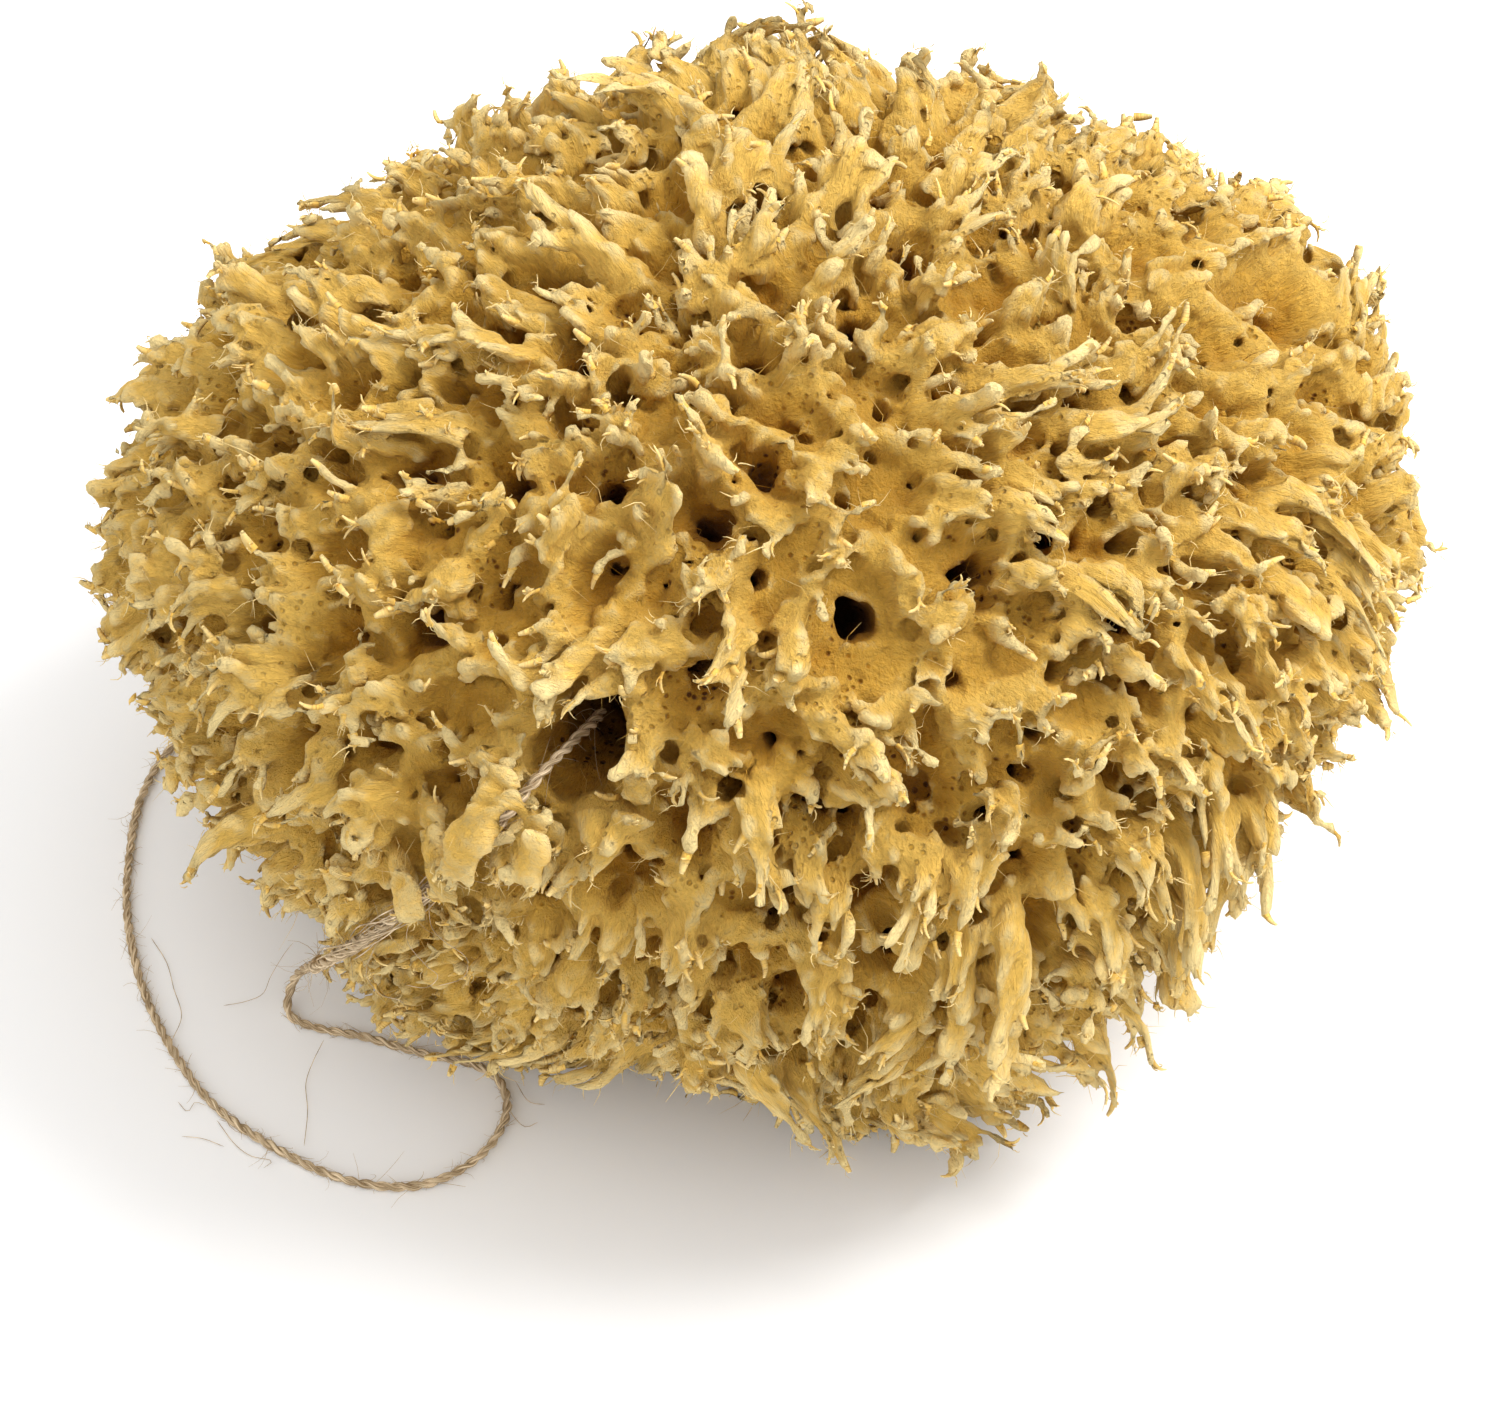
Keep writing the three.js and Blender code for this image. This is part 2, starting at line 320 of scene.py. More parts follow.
# %% Sort the net's points
SAME_POINT = 2e-6
net = bmesh.new()
net.from_mesh(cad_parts["sponge"].data)
bmesh.ops.remove_doubles(net, verts=net.verts, dist=SAME_POINT)
net.verts.ensure_lookup_table()
net_points = np.array([vertex.co for vertex in net.verts]) / MM
around = [[edge.other_vert(vertex).index for edge in vertex.link_edges] for vertex in net.verts]
valence = np.array([len(near) for near in around])
is_wall = valence == 4
is_tip = np.array([count == 6 and max(valence[near]) > 6 for count, near in zip(valence, around)])
is_pit = ~is_wall & ~is_tip
net_faces = np.array([[vertex.index for vertex in face.verts] for face in net.faces])
net.free()
print("walls, tips, pits:", is_wall.sum(), is_tip.sum(), is_pit.sum())

# %% [markdown]
# ## Feet and crown
# A tuft has a foot, in the middle of its walls, and a tip. On the real sponge the tufts lie away from one
# place near the top, the crown, like hair from a parting. So every place on the skin has a downhill way.

# %% Where each tuft stands
GROWTH_CENTRE = np.array([0, 0, 60.0])
CROWN = unit(np.array([0.11, -0.50, 0.85]))
CROWN_FADE = 0.8
wall_ids = np.flatnonzero(is_wall)
tip_ids = np.flatnonzero(is_tip)
pit_ids = np.flatnonzero(is_pit)
on_base = net_points[:, 2] < 0.2
walls_of = {tip: [near for near in around[tip] if is_wall[near]] for tip in tip_ids}
foot = net_points.copy()
for tip in tip_ids:
    foot[tip] = net_points[walls_of[tip]].mean(axis=0)
outward = unit(net_points - GROWTH_CENTRE)
tuft_height = np.linalg.norm(net_points - foot, axis=1)
print("tuft height, mm: mean %.1f, longest %.1f" % (tuft_height[tip_ids].mean(), tuft_height.max()))


def downhill(points):
    """For each point, the way along the skin that leads away from the crown. It fades out at the crown."""
    out = unit(points - GROWTH_CENTRE)
    way = out * (out @ CROWN)[..., None] - CROWN
    return way / np.maximum(np.linalg.norm(way, axis=-1, keepdims=True), CROWN_FADE)


# %% [markdown]
# ## How tufts droop
# On the real sponge a tuft doesn't stand straight. It bends over, more and more towards its end, away
# from the crown, and neighbours bend the same way, like combed hair. Everything is modelled straight
# first. Then one formula bends all of it, by how high each point is above the skin.

# %% Height above the skin
skin_ids = np.concatenate([wall_ids, tip_ids])
skin_ways = unit(foot[skin_ids] - GROWTH_CENTRE)
skin_reach = np.linalg.norm(foot[skin_ids] - GROWTH_CENTRE, axis=1)
TURNS = 96
RISES = 48
SKIN_SHARPNESS = 300
turn_grid, rise_grid = np.meshgrid(
    np.linspace(-np.pi, np.pi, TURNS + 1), np.linspace(-np.pi / 2, np.pi / 2, RISES + 1), indexing="ij")
grid_ways = np.stack([np.cos(rise_grid) * np.cos(turn_grid), np.cos(rise_grid) * np.sin(turn_grid),
                      np.sin(rise_grid)], axis=-1)
nearness = np.exp((grid_ways @ skin_ways.T - 1) * SKIN_SHARPNESS)
skin_table = (nearness @ skin_reach) / nearness.sum(axis=-1)


def height_above_skin(points):
    """How far points stand out of the smooth skin that the tufts grow from."""
    out = points - GROWTH_CENTRE
    reach = np.linalg.norm(out, axis=1)
    turn = (np.arctan2(out[:, 1], out[:, 0]) / np.pi + 1) / 2 * TURNS
    rise = (np.arcsin(np.clip(out[:, 2] / np.maximum(reach, 1e-6), -1, 1)) / np.pi + 0.5) * RISES
    first_turn = np.clip(turn.astype(int), 0, TURNS - 1)
    first_rise = np.clip(rise.astype(int), 0, RISES - 1)
    skin = np.zeros(len(points))
    for a, b in np.ndindex(2, 2):
        weight = np.abs(1 - a - (turn - first_turn)) * np.abs(1 - b - (rise - first_rise))
        skin += skin_table[first_turn + a, first_rise + b] * weight
    return reach - skin


print("skin reach, mm:", skin_table.min().round(), "to", skin_table.max().round())

# %% Bend a tuft over
DROOP = 0.034
SINK = 0.012
BENT_HEIGHT = 14
DOWNHILL_PULL = 0.9
COMB_WIDTH = 24.0
COMB_STRENGTH = 2.1
CRUMPLE_WIDTH = 11.0
CRUMPLE = 1.1
WRINKLE_WIDTH = 4.0
WRINKLE = 0.4
BASE_THICKNESS = 0.3


def droop(points):
    """Bends what stands high over, away from the crown and with its neighbours, and crumples it."""
    height = np.clip(height_above_skin(points), 0, BENT_HEIGHT)
    out = unit(points - GROWTH_CENTRE)
    way = downhill(points) * DOWNHILL_PULL + drift(points, COMB_WIDTH, 7) * COMB_STRENGTH
    way -= out * np.sum(way * out, axis=1, keepdims=True)
    moved = points + way * (DROOP * height ** 2)[:, None] - out * (SINK * height ** 2)[:, None]
    moved += drift(points, CRUMPLE_WIDTH, 3) * CRUMPLE + drift(points, WRINKLE_WIDTH, 4) * WRINKLE
    flat = points[:, 2] < BASE_THICKNESS
    moved[flat, 2] = points[flat, 2]
    moved[:, 2] = np.maximum(moved[:, 2], 0)
    return moved


tip_drop = np.linalg.norm(droop(net_points[tip_ids]) - net_points[tip_ids], axis=1)
print("tips bent over by, mm: mean %.1f, most %.1f" % (tip_drop.mean(), tip_drop.max()))

# %% [markdown]
# ## Growing the flesh in a field
# Real sponge has no edges: walls melt into tufts, and pits have round lips. A mesh made face by face can't
# do that, but a distance field can. Space is cut into small cubes, and each cube keeps its distance to the
# nearest surface. Forms are then melted in or carved out by simple sums, and the surface is read off
# where the distance is zero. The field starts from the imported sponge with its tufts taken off.

# %% The field
VOXEL = 0.62
MARGIN = 13.0
BAND = 5
field_low = net_points.min(axis=0) - MARGIN
field_low[2] = -4 * VOXEL
field_shape = np.ceil((net_points.max(axis=0) + MARGIN - field_low) / VOXEL).astype(int)
axes = [field_low[i] + VOXEL * np.arange(field_shape[i]) for i in range(3)]
print("field, cubes each way:", field_shape)

# %% How deep each pit is
DEEP_PIT = 11
CAVITY = 24
RIGHT_CAVITY = np.array([52.4, 0.9, 104.0])
CAVITY_FILL = 0.35
HOLE_FILL = 0.85
WELL_FILLED = 0.25
pit_depth = np.zeros(len(net_points))
bare = np.where(is_tip[:, None], foot, net_points)
for pit in pit_ids:
    rim = [near for near in around[pit] if is_wall[near]]
    pit_depth[pit] = np.dot(net_points[rim].mean(axis=0) - net_points[pit], outward[pit])
deep_pits = [pit for pit in pit_ids if pit_depth[pit] > DEEP_PIT and not on_base[pit]]
cavities = [pit for pit in deep_pits
            if pit_depth[pit] > CAVITY or np.linalg.norm(net_points[pit] - RIGHT_CAVITY) < 6]
for pit in pit_ids:
    if pit in deep_pits:
        bare[pit] += outward[pit] * pit_depth[pit] * (CAVITY_FILL if pit in cavities else HOLE_FILL)
    elif not on_base[pit]:
        fill = rng.uniform(0.75, 1.0) if rng.random() < WELL_FILLED else rng.uniform(0.0, 0.75)
        bare[pit] += outward[pit] * pit_depth[pit] * fill
print("deep holes:", len(deep_pits), "of them wide:", len(cavities))

# %% Put the bare sponge in the field
BARE_SOFTENING = 6
bare_grid = openvdb.FloatGrid.createLevelSetFromPolygons(
    (bare - field_low).astype(np.float32),
    triangles=net_faces.astype(np.uint32),
    transform=openvdb.createLinearTransform(voxelSize=VOXEL),
    halfWidth=BAND,
)
field = np.full(field_shape, BAND * VOXEL, np.float32)
bare_grid.copyToArray(field)


def soften(values, times):
    """Averages every cube with its neighbours along each axis, over and over."""
    for _ in range(times):
        for axis in range(3):
            core = [slice(None)] * 3
            before, after = core.copy(), core.copy()
            core[axis], before[axis], after[axis] = slice(1, -1), slice(0, -2), slice(2, None)
            middle = values[tuple(core)]
            values[tuple(core)] = middle * 0.5 + (values[tuple(before)] + values[tuple(after)]) * 0.25
    return values


soften(field, BARE_SOFTENING)
print("field cubes:", field.size, "inside:", int((field < 0).sum()))


# %% [markdown]
# ## Two tools for the field
# All the flesh is made of rods that are melted in, and all its holes of rods that are carved out. A rod
# changes only the cubes round it, so thousands of them don't take long. Its blend rounds the place where
# it meets the rest. A squashed rod gives a flat ribbon.

# %% Melting in and carving out
SQUASH = 0.7


def window(low, high):
    """The part of the field between two corners, with its x, y and z laid out for sums."""
    first = np.maximum(((low - field_low) / VOXEL).astype(int), 0)
    last = np.minimum(((high - field_low) / VOXEL).astype(int) + 2, field_shape)
    part = tuple(slice(a, b) for a, b in zip(first, last))
    x = axes[0][part[0]][:, None, None]
    y = axes[1][part[1]][None, :, None]
    z = axes[2][part[2]][None, None, :]
    return field[part], x, y, z


def rod_distance(x, y, z, start, end, start_radius, end_radius, flat=None):
    """Distance to a rod with round ends whose thickness changes along it. The flat way is squashed."""
    along = end - start
    x, y, z = x - start[0], y - start[1], z - start[2]
    share = np.clip((x * along[0] + y * along[1] + z * along[2]) / max(along @ along, 1e-6), 0, 1)
    x, y, z = x - share * along[0], y - share * along[1], z - share * along[2]
    gap = x * x + y * y + z * z
    if flat is not None:
        gap += SQUASH * (x * flat[0] + y * flat[1] + z * flat[2]) ** 2
    return np.sqrt(gap) - (start_radius + (end_radius - start_radius) * share)


def melt(start, end, start_radius, end_radius, blend, flat=None):
    """Joins a rod to the flesh, with a soft fillet as wide as the blend."""
    reach = max(start_radius, end_radius) + blend + VOXEL
    flesh, x, y, z = window(np.minimum(start, end) - reach, np.maximum(start, end) + reach)
    if not flesh.size:
        return
    rod = rod_distance(x, y, z, start, end, start_radius, end_radius, flat)
    share = np.clip(0.5 + 0.5 * (flesh - rod) / blend, 0, 1)
    flesh += (rod - flesh) * share - blend * share * (1 - share)


def carve(start, end, start_radius, end_radius, blend):
    """Cuts a rod out of the flesh and rounds the lip."""
    reach = max(start_radius, end_radius) + blend + VOXEL
    flesh, x, y, z = window(np.minimum(start, end) - reach, np.maximum(start, end) + reach)
    if not flesh.size:
        return
    hollow = -rod_distance(x, y, z, start, end, start_radius, end_radius)
    share = np.clip(0.5 + 0.5 * (hollow - flesh) / blend, 0, 1)
    flesh += (hollow - flesh) * share + blend * share * (1 - share)


print("a flat rod is this share of its width thick:", round(1 / math.sqrt(1 + SQUASH), 2))

# %% [markdown]
# ## Webs, tufts and prongs
# A tuft of the real sponge is a flap: a thin sheet, curved like a scoop, with its hollow side turned away
# from the crown and its end torn into curled prongs. In the net each tuft has three webs. Two of them are
# made tall here and the third is left low, which gives just that scoop. A web or a flap is a row of rods
# that stand side by side, from the flesh to the ragged top edge.

# %% Which webs stand tall
TALL_WEB = (0.55, 1.0)
LOW_WEB = (0.0, 0.25)
web_strength = {}
for tip in tip_ids:
    walls = walls_of[tip]
    hill = downhill(foot[tip][None])[0]
    facing = [np.dot(unit(net_points[wall] - foot[tip]), hill) + rng.normal(0, 0.45) for wall in walls]
    for wall in walls:
        web_strength[tip, wall] = rng.uniform(*TALL_WEB)
    web_strength[tip, walls[int(np.argmax(facing))]] = rng.uniform(*LOW_WEB)
print("webs:", len(web_strength))

# %% Prongs
PRONG_STEPS = 3
PRONG_LENGTH = (4.0, 7.5)
PRONG_RADIUS = (0.85, 1.2)
BURIED = 3
prong_ends = {"root": [], "way": [], "bend": [], "girth": []}


def wander(scale):
    """A random vector, in millimetres."""
    return rng.normal(0, scale, 3)


def add_prong(root, way, length, radius):
    """A curled ribbon of flesh, torn off the end of a flap. Its end is noted for finer frays."""
    way = unit(way)
    hill = downhill(root[None])[0]
    curl = wander(0.18) + hill * rng.uniform(-0.15, 0.4)
    flat = unit(np.cross(way, unit(np.cross(way, hill + wander(0.4)))))
    point = root
    for step in range(PRONG_STEPS):
        way = unit(way + curl)
        after = point + way * length / PRONG_STEPS
        after[2] = max(after[2], 1.0)
        thick = radius * (1 - 0.15 * step)
        melt(point, after, thick, thick - 0.15 * radius, 0.8 - 0.25 * step, flat)
        point = after
    noted = {"root": point - way * 0.3, "way": way, "bend": curl, "girth": radius}
    for label, value in noted.items():
        prong_ends[label].append(value)


print("steps of a prong:", PRONG_STEPS)

# %% Flaps
ROD_SPACING = 0.9
FLAP_ROOT = 1.5
FLAP_WAIST = 0.9
FLAP_SHEET = 0.95
FLAP_RIM = 0.72
SCOOP = (-1.2, 2.2)
LEAN = (0.05, 0.4)
PEAK = (-0.4, 0.4)


def add_flap(seat, side, up, height, half_width, prongs):
    """A thin sheet that stands across the slope and leans down it. Its ragged rim ends in prongs."""
    out = unit(seat - GROWTH_CENTRE)
    hill = downhill(seat[None])[0]
    rods = max(2, round(half_width / ROD_SPACING))
    scoop = rng.uniform(*SCOOP)
    lean = rng.uniform(*LEAN)
    peak = rng.uniform(*PEAK)
    rim = []
    for rod in range(-rods, rods + 1):
        share = rod / rods
        rise = max(0.8, height * (1 - 0.45 * (share - peak) ** 2) + rng.normal(0, 0.7))
        across = side * half_width * share + hill * scoop * share * share
        waist = seat + across + up * rise * 0.5
        edge = seat + across * 0.8 + up * rise + hill * rise * lean
        melt(seat + across * 1.2 - out * BURIED, waist, FLAP_ROOT, FLAP_WAIST, 1.0)
        melt(waist, edge, FLAP_SHEET, FLAP_RIM, 0.35, hill)
        rim.append(edge)
    for _ in range(prongs):
        edge = rim[rng.integers(0, len(rim))]
        way = up + hill * lean * 2 + side * rng.uniform(-0.4, 0.4) + wander(0.15)
        add_prong(edge - up * 1.2, way, rng.uniform(*PRONG_LENGTH), rng.uniform(*PRONG_RADIUS))


print("thickness of a flap, mm:", 2 * FLAP_WAIST, "at its waist,", 2 * FLAP_RIM, "at its rim")

# %% How tall each tuft grows
GROWTH = (0.55, 0.92)
SHORT_GROWTH = 0.3
SHORT_TUFTS = 0.08
tuft_growth = rng.uniform(*GROWTH, len(net_points))
tuft_growth[rng.random(len(net_points)) < SHORT_TUFTS] = SHORT_GROWTH
tuft_lean = unit(net_points - foot)
tall = tuft_height * tuft_growth
high_at_back = (net_points[:, 1] > 30) & (net_points[:, 2] > 75)
far_left = net_points[:, 0] < -75
low_right = (net_points[:, 0] > 15) & (net_points[:, 1] < -40) & (net_points[:, 2] < 75)
tall[high_at_back] *= 1.4
tall[far_left] *= 1.2
print("longer tufts at the back, left and lower right:",
      [int((where & is_tip).sum()) for where in (high_at_back, far_left, low_right)])

# %% Webs
WEB_SHARES = [0.12, 0.28, 0.46, 0.66, 0.88]
WEB_SLOPE = 11
WEB_BLEND = 2.0
WEB_WINDOWS = 0.3
WINDOW_RADIUS = (1.0, 1.9)
WEB_PRONG_LENGTH = (3.0, 6.0)
WEB_PRONG_RADIUS = (0.8, 1.1)
windows = []
for wall in wall_ids:
    if on_base[wall]:
        continue
    tips = [near for near in around[wall] if is_tip[near] and not on_base[near]]
    if not tips:
        continue
    strengths = [web_strength[tip, wall] for tip in tips]
    rise = -3.0 + 4.5 * float(np.mean(strengths)) + rng.uniform(-1, 1.5)
    top = net_points[wall] + outward[wall] * rise
    deep = net_points[wall] - outward[wall] * 4
    for tip, strength in zip(tips, strengths):
        root = foot[tip] - outward[tip] * BURIED
        half_width = 0.05 + 0.6 * strength * rng.uniform(0.7, 1.1)
        if strength > 0.6 and rng.random() < WEB_WINDOWS:
            middle = (foot[tip] + top) / 2 + tuft_lean[tip] * rng.uniform(-0.5, 1.5)
            across = unit(np.cross(top - foot[tip], outward[tip]))
            windows.append((middle, across, rng.uniform(*WINDOW_RADIUS)))
        for share in WEB_SHARES:
            height_share = 1 / (1 + math.exp((share - half_width) * WEB_SLOPE))
            up = unit(tuft_lean[tip] * (1 - share) + outward[wall] * share)
            base = root + (deep - root) * share
            level = foot[tip] + (top - foot[tip]) * share * (1 - 0.4 * height_share)
            height = max(0.0, tall[tip] * height_share * 0.95 + rng.normal(0, 0.6))
            edge = level + up * height
            melt(base, level, 2.3, 1.4, WEB_BLEND)
            melt(level, edge, 1.4, 0.75, 1.0)
            chance = 0.1 if share < 0.5 else 0.04
            if rng.random() < chance * (0.3 + 0.7 * strength):
                way = up + unit(top - foot[tip]) * 0.3 + wander(0.2)
                add_prong(edge - up * 1.2, way, rng.uniform(*WEB_PRONG_LENGTH),
                          rng.uniform(*WEB_PRONG_RADIUS))
print("prongs on webs:", len(prong_ends["root"]))

# %% Tufts
FLAP_HALF_WIDTH = (2.0, 4.8)
PRONGS_PER_MM = (0.35, 0.75)
for tip in tip_ids:
    if on_base[tip]:
        continue
    base = foot[tip] - outward[tip] * BURIED
    melt(base, foot[tip] + tuft_lean[tip] * tall[tip] * 0.6, 2.5, 0.9, 1.6)
    side = unit(np.cross(outward[tip], downhill(foot[tip][None])[0]) + wander(0.45))
    height = tall[tip] * (1.15 if low_right[tip] else 1.0)
    width = rng.uniform(*FLAP_HALF_WIDTH)
    prongs = round(width * rng.uniform(*PRONGS_PER_MM)) + 1
    add_flap(foot[tip], side, tuft_lean[tip], height, width, prongs)
print("prongs on webs and tufts:", len(prong_ends["root"]))

# %% [markdown]
# ## Small flaps and bridges
# Between its tufts the real sponge has small flaps on its walls, and strings of flesh across its pits. They
# are the same flaps and rods again, only smaller, and chance decides where they grow.

# %% Small flaps between the tufts
EXTRA_FLAPS = 0.58
SMALL_FLAP_HEIGHT = (2.5, 6.5)
SMALL_FLAP_HALF_WIDTH = (1.4, 3.6)
for wall in wall_ids:
    if on_base[wall] or rng.random() > EXTRA_FLAPS:
        continue
    tips = [near for near in around[wall] if is_tip[near]]
    pits = [near for near in around[wall] if is_pit[near]]
    side = unit(net_points[tips[0]] - net_points[tips[1]])
    toward_pit = unit(net_points[pits[rng.integers(len(pits))]] - net_points[wall])
    seat = net_points[wall] + toward_pit * rng.uniform(0, 3)
    up = unit(outward[wall] + downhill(seat[None])[0] * 0.35 + wander(0.2))
    add_flap(seat, side, up, rng.uniform(*SMALL_FLAP_HEIGHT), rng.uniform(*SMALL_FLAP_HALF_WIDTH),
             rng.integers(1, 3))
print("prongs with the small flaps:", len(prong_ends["root"]))

# %% Bridges over the pits
BRIDGES = 0.45
BRIDGE_END = 1.7
BRIDGE_MIDDLE = 1.0
bridges = 0
for pit in pit_ids:
    if on_base[pit] or pit in deep_pits or rng.random() > BRIDGES:
        continue
    rim = [near for near in around[pit] if is_wall[near]]
    first, second = rng.choice(len(rim), 2, replace=False)
    start = net_points[rim[first]] - outward[pit] * rng.uniform(1, 3)
    end = net_points[rim[second]] - outward[pit] * rng.uniform(1, 3)
    middle = (start + end) / 2 + outward[pit] * rng.uniform(-2.5, 0.5)
    melt(start, middle, BRIDGE_END, BRIDGE_MIDDLE, 1.4)
    melt(middle, end, BRIDGE_MIDDLE, BRIDGE_END, 1.4)
    bridges += 1
print("bridges:", bridges)

# %% [markdown]
# ## The tuft that hangs over the twine
# One broad tuft with two legs hangs over the twine below its notch, and two smaller flaps hang further
# down. Their places are known in the finished, bent sponge. So each point is first bent back: it is moved
# until the droop carries it to where it should be.

# %% Drape the tuft over the twine
LEFT_LEG = [(-30, -58, 97), (-32.5, -69, 98.5), (-35, -75.5, 97.4), (-38, -79.5, 95), (-40.5, -82, 91),
            (-42.5, -83, 85.7)]
RIGHT_LEG = [(-29, -58, 97), (-31.6, -69.5, 98), (-31, -76, 97), (-31, -80, 94), (-31.2, -83, 90.5),
             (-32, -84.5, 86.5)]
MIDDLE_FLAP = [(-51, -58, 82), (-49.3, -63, 84), (-47.5, -70, 86.5), (-46, -77, 86.5), (-45, -81, 84),
               (-44.5, -83, 80.5)]
LOWER_FLAP = [(-56, -60, 72), (-53.7, -64.3, 73.4), (-52, -71.5, 76), (-50.5, -78.5, 78),
              (-49.5, -81.5, 77)]
DRAPED_HALF_WIDTHS = [2.6, 2.4, 1.6, 1.0, 0.8]
BEND_BACK_STEPS = 40


def bend_back(targets):
    """The places in the straight sponge that the droop carries to the given places."""
    places = targets.copy()
    for _ in range(BEND_BACK_STEPS):
        places += (targets - droop(places)) * 0.5
    return places


for leg in (LEFT_LEG, RIGHT_LEG, MIDDLE_FLAP, LOWER_FLAP):
    leg = bend_back(np.array(leg, float))
    for start, end, half_width in zip(leg, leg[1:], DRAPED_HALF_WIDTHS):
        across = unit(np.cross(end - start, start - GROWTH_CENTRE))
        for share in (-1, -0.5, 0, 0.5, 1):
            shift = across * share * half_width
            melt(start + shift, end + shift * 0.88, 1.1, 0.9, 0.6)
    for share in (-1, 0, 1):
        way = unit(end - start) + across * share * 0.3 + wander(0.15)
        add_prong(end - (end - start) * 0.3 + across * share * 0.7, way, rng.uniform(2.5, 4.0), 0.95)
print("prongs in all:", len(prong_ends["root"]))

# %% [markdown]
# ## Canals and pores
# Water ran through the living sponge in canals. They open as dark round holes in the pits, a few of them
# wide and deep, and as small pores in the walls. Carving them from the same field gives them soft lips.

# %% Canals
ROUND_HOLLOWS = 0.7
HOLLOW_RADIUS = (2.2, 3.9)
CANALS = 0.6
CANAL_RADIUS = (0.9, 2.4)
CANAL_LENGTH = (8, 14)
for pit in pit_ids:
    if on_base[pit]:
        continue
    out = outward[pit]
    inward = unit(wander(0.25) - out)
    floor_point = bare[pit] + out * 2
    mouth = net_points[pit] + out * (pit_depth[pit] - 1)
    if pit in cavities:
        radius = 2.4 + (pit_depth[pit] - DEEP_PIT) * 0.17
        carve(mouth + out * 9, mouth, radius + 2.2, radius + 1.6, 1.0)
        carve(mouth, net_points[pit], radius + 1.2, radius, 1.5)
        carve(net_points[pit], net_points[pit] + inward * 6, radius, 1.6, 1.0)
        continue
    if pit in deep_pits:
        radius = rng.uniform(1.9, 2.7) + 0.1 * (pit_depth[pit] - 16)
        carve(mouth + out * 6, net_points[pit], radius * 1.2, radius, 0.8)
        continue
    if rng.random() < ROUND_HOLLOWS:
        radius = rng.uniform(*HOLLOW_RADIUS)
        lip = net_points[pit] + out * (pit_depth[pit] + rng.uniform(2, 6))
        carve(lip, floor_point + out, radius * 1.1, radius * 0.8, 1.0)
    if rng.random() < CANALS:
        radius = rng.uniform(*CANAL_RADIUS)
        carve(floor_point, floor_point + inward * rng.uniform(*CANAL_LENGTH), radius, radius * 0.7, 1.0)
print("flesh after the canals, cubes:", int((field < 0).sum()))

# %% Small hollows in the walls
SMALL_HOLLOWS = 0.3
SMALL_HOLLOW_RADIUS = (1.2, 2.2)
for wall in wall_ids:
    if on_base[wall] or rng.random() > SMALL_HOLLOWS:
        continue
    middle = net_points[wall] + wander(1.5)
    radius = rng.uniform(*SMALL_HOLLOW_RADIUS)
    carve(middle + outward[wall] * 3, middle - outward[wall] * 3, radius * 1.1, radius * 0.8, 0.8)
print("flesh after the hollows, cubes:", int((field < 0).sum()))

# %% [markdown]
# ## Room for the twine
# The twine rests in a groove between the tufts and doesn't run through them. A narrow canal is carved along
# its route. From the frayed stretch on it gets wider, and a second canal on the side of the camera opens it
# to view, as in the photo. Both are bent back first, like the tuft that hangs over the twine.

# %% Clear the way for the twine
CLEARING_STEP = 4
CLEARING_STEPS = 40
LOWEST_CLEARING = 8
IN_VIEW_FROM = 44
HIDDEN_CANAL = 1.5
OPEN_CANAL = 2.2
FRONT_CANAL = 2.6
FRONT_SHIFT = 3.0
beside_sponge = twine_line[::CLEARING_STEP][:CLEARING_STEPS] / MM
beside_sponge = beside_sponge[beside_sponge[:, 2] > LOWEST_CLEARING]
straight_way = bend_back(beside_sponge)
straight_front = bend_back(beside_sponge + np.array(toward_camera) * FRONT_SHIFT)
for number in range(len(straight_way) - 1):
    in_view = number * CLEARING_STEP * TWINE_STEP / MM > IN_VIEW_FROM
    girth = OPEN_CANAL if in_view else HIDDEN_CANAL
    carve(straight_way[number], straight_way[number + 1], girth, girth, 0.6)
    if in_view:
        carve(straight_front[number], straight_front[number + 1], FRONT_CANAL, FRONT_CANAL, 0.6)
print("twine cleared over steps:", len(straight_way))

# %% Windows
WINDOW_REACH = 3.5
for middle, across, radius in windows:
    carve(middle - across * WINDOW_REACH, middle + across * WINDOW_REACH, radius, radius, 0.8)
print("windows:", len(windows))

# %% Pores
PORES = 1100
PORE_RADIUS = (0.55, 1.1)
for _ in range(PORES):
    near = rng.choice(wall_ids) if rng.random() < 0.5 else rng.choice(pit_ids)
    if on_base[near]:
        continue
    middle = net_points[near] + wander(2.2)
    radius = rng.uniform(*PORE_RADIUS)
    carve(middle + outward[near] * 2, middle - outward[near] * 4, radius, radius * 0.8, 0.6)
print("flesh after the pores, cubes:", int((field < 0).sum()))

# %% [markdown]
# ## Felt and base
# Felted fibre is never smooth, so softened random numbers are added to the whole field. That gives a fine
# relief everywhere, inside the holes too. The underside of the real sponge was trimmed flat, so the field
# ends at the floor.

# %% Roughen the surface and cut the base flat
FELT = 0.3
FELT_SOFTENING = 2
roughness = soften(rng.standard_normal(field_shape, dtype=np.float32), FELT_SOFTENING)
field += roughness * (FELT / roughness.std())
np.maximum(field, -axes[2][None, None, :], out=field)
np.clip(field, -BAND * VOXEL, BAND * VOXEL, out=field)
print("felt relief, mm:", FELT)

# %% [markdown]
# ## From field to mesh
# The surface is read off the field as squares. They are thinned to a size that a model can carry, which
# keeps small faces where the form bends and large ones where it is flat. Small loose islands are dropped.

# %% Read off the surface
grid = openvdb.FloatGrid(BAND * VOXEL)
grid.copyFromArray(field)
corners, squares = grid.convertToQuads(isovalue=0.0)[:2]
corners = corners * VOXEL + field_low
print("raw surface:", len(corners), "points,", len(squares), "squares")


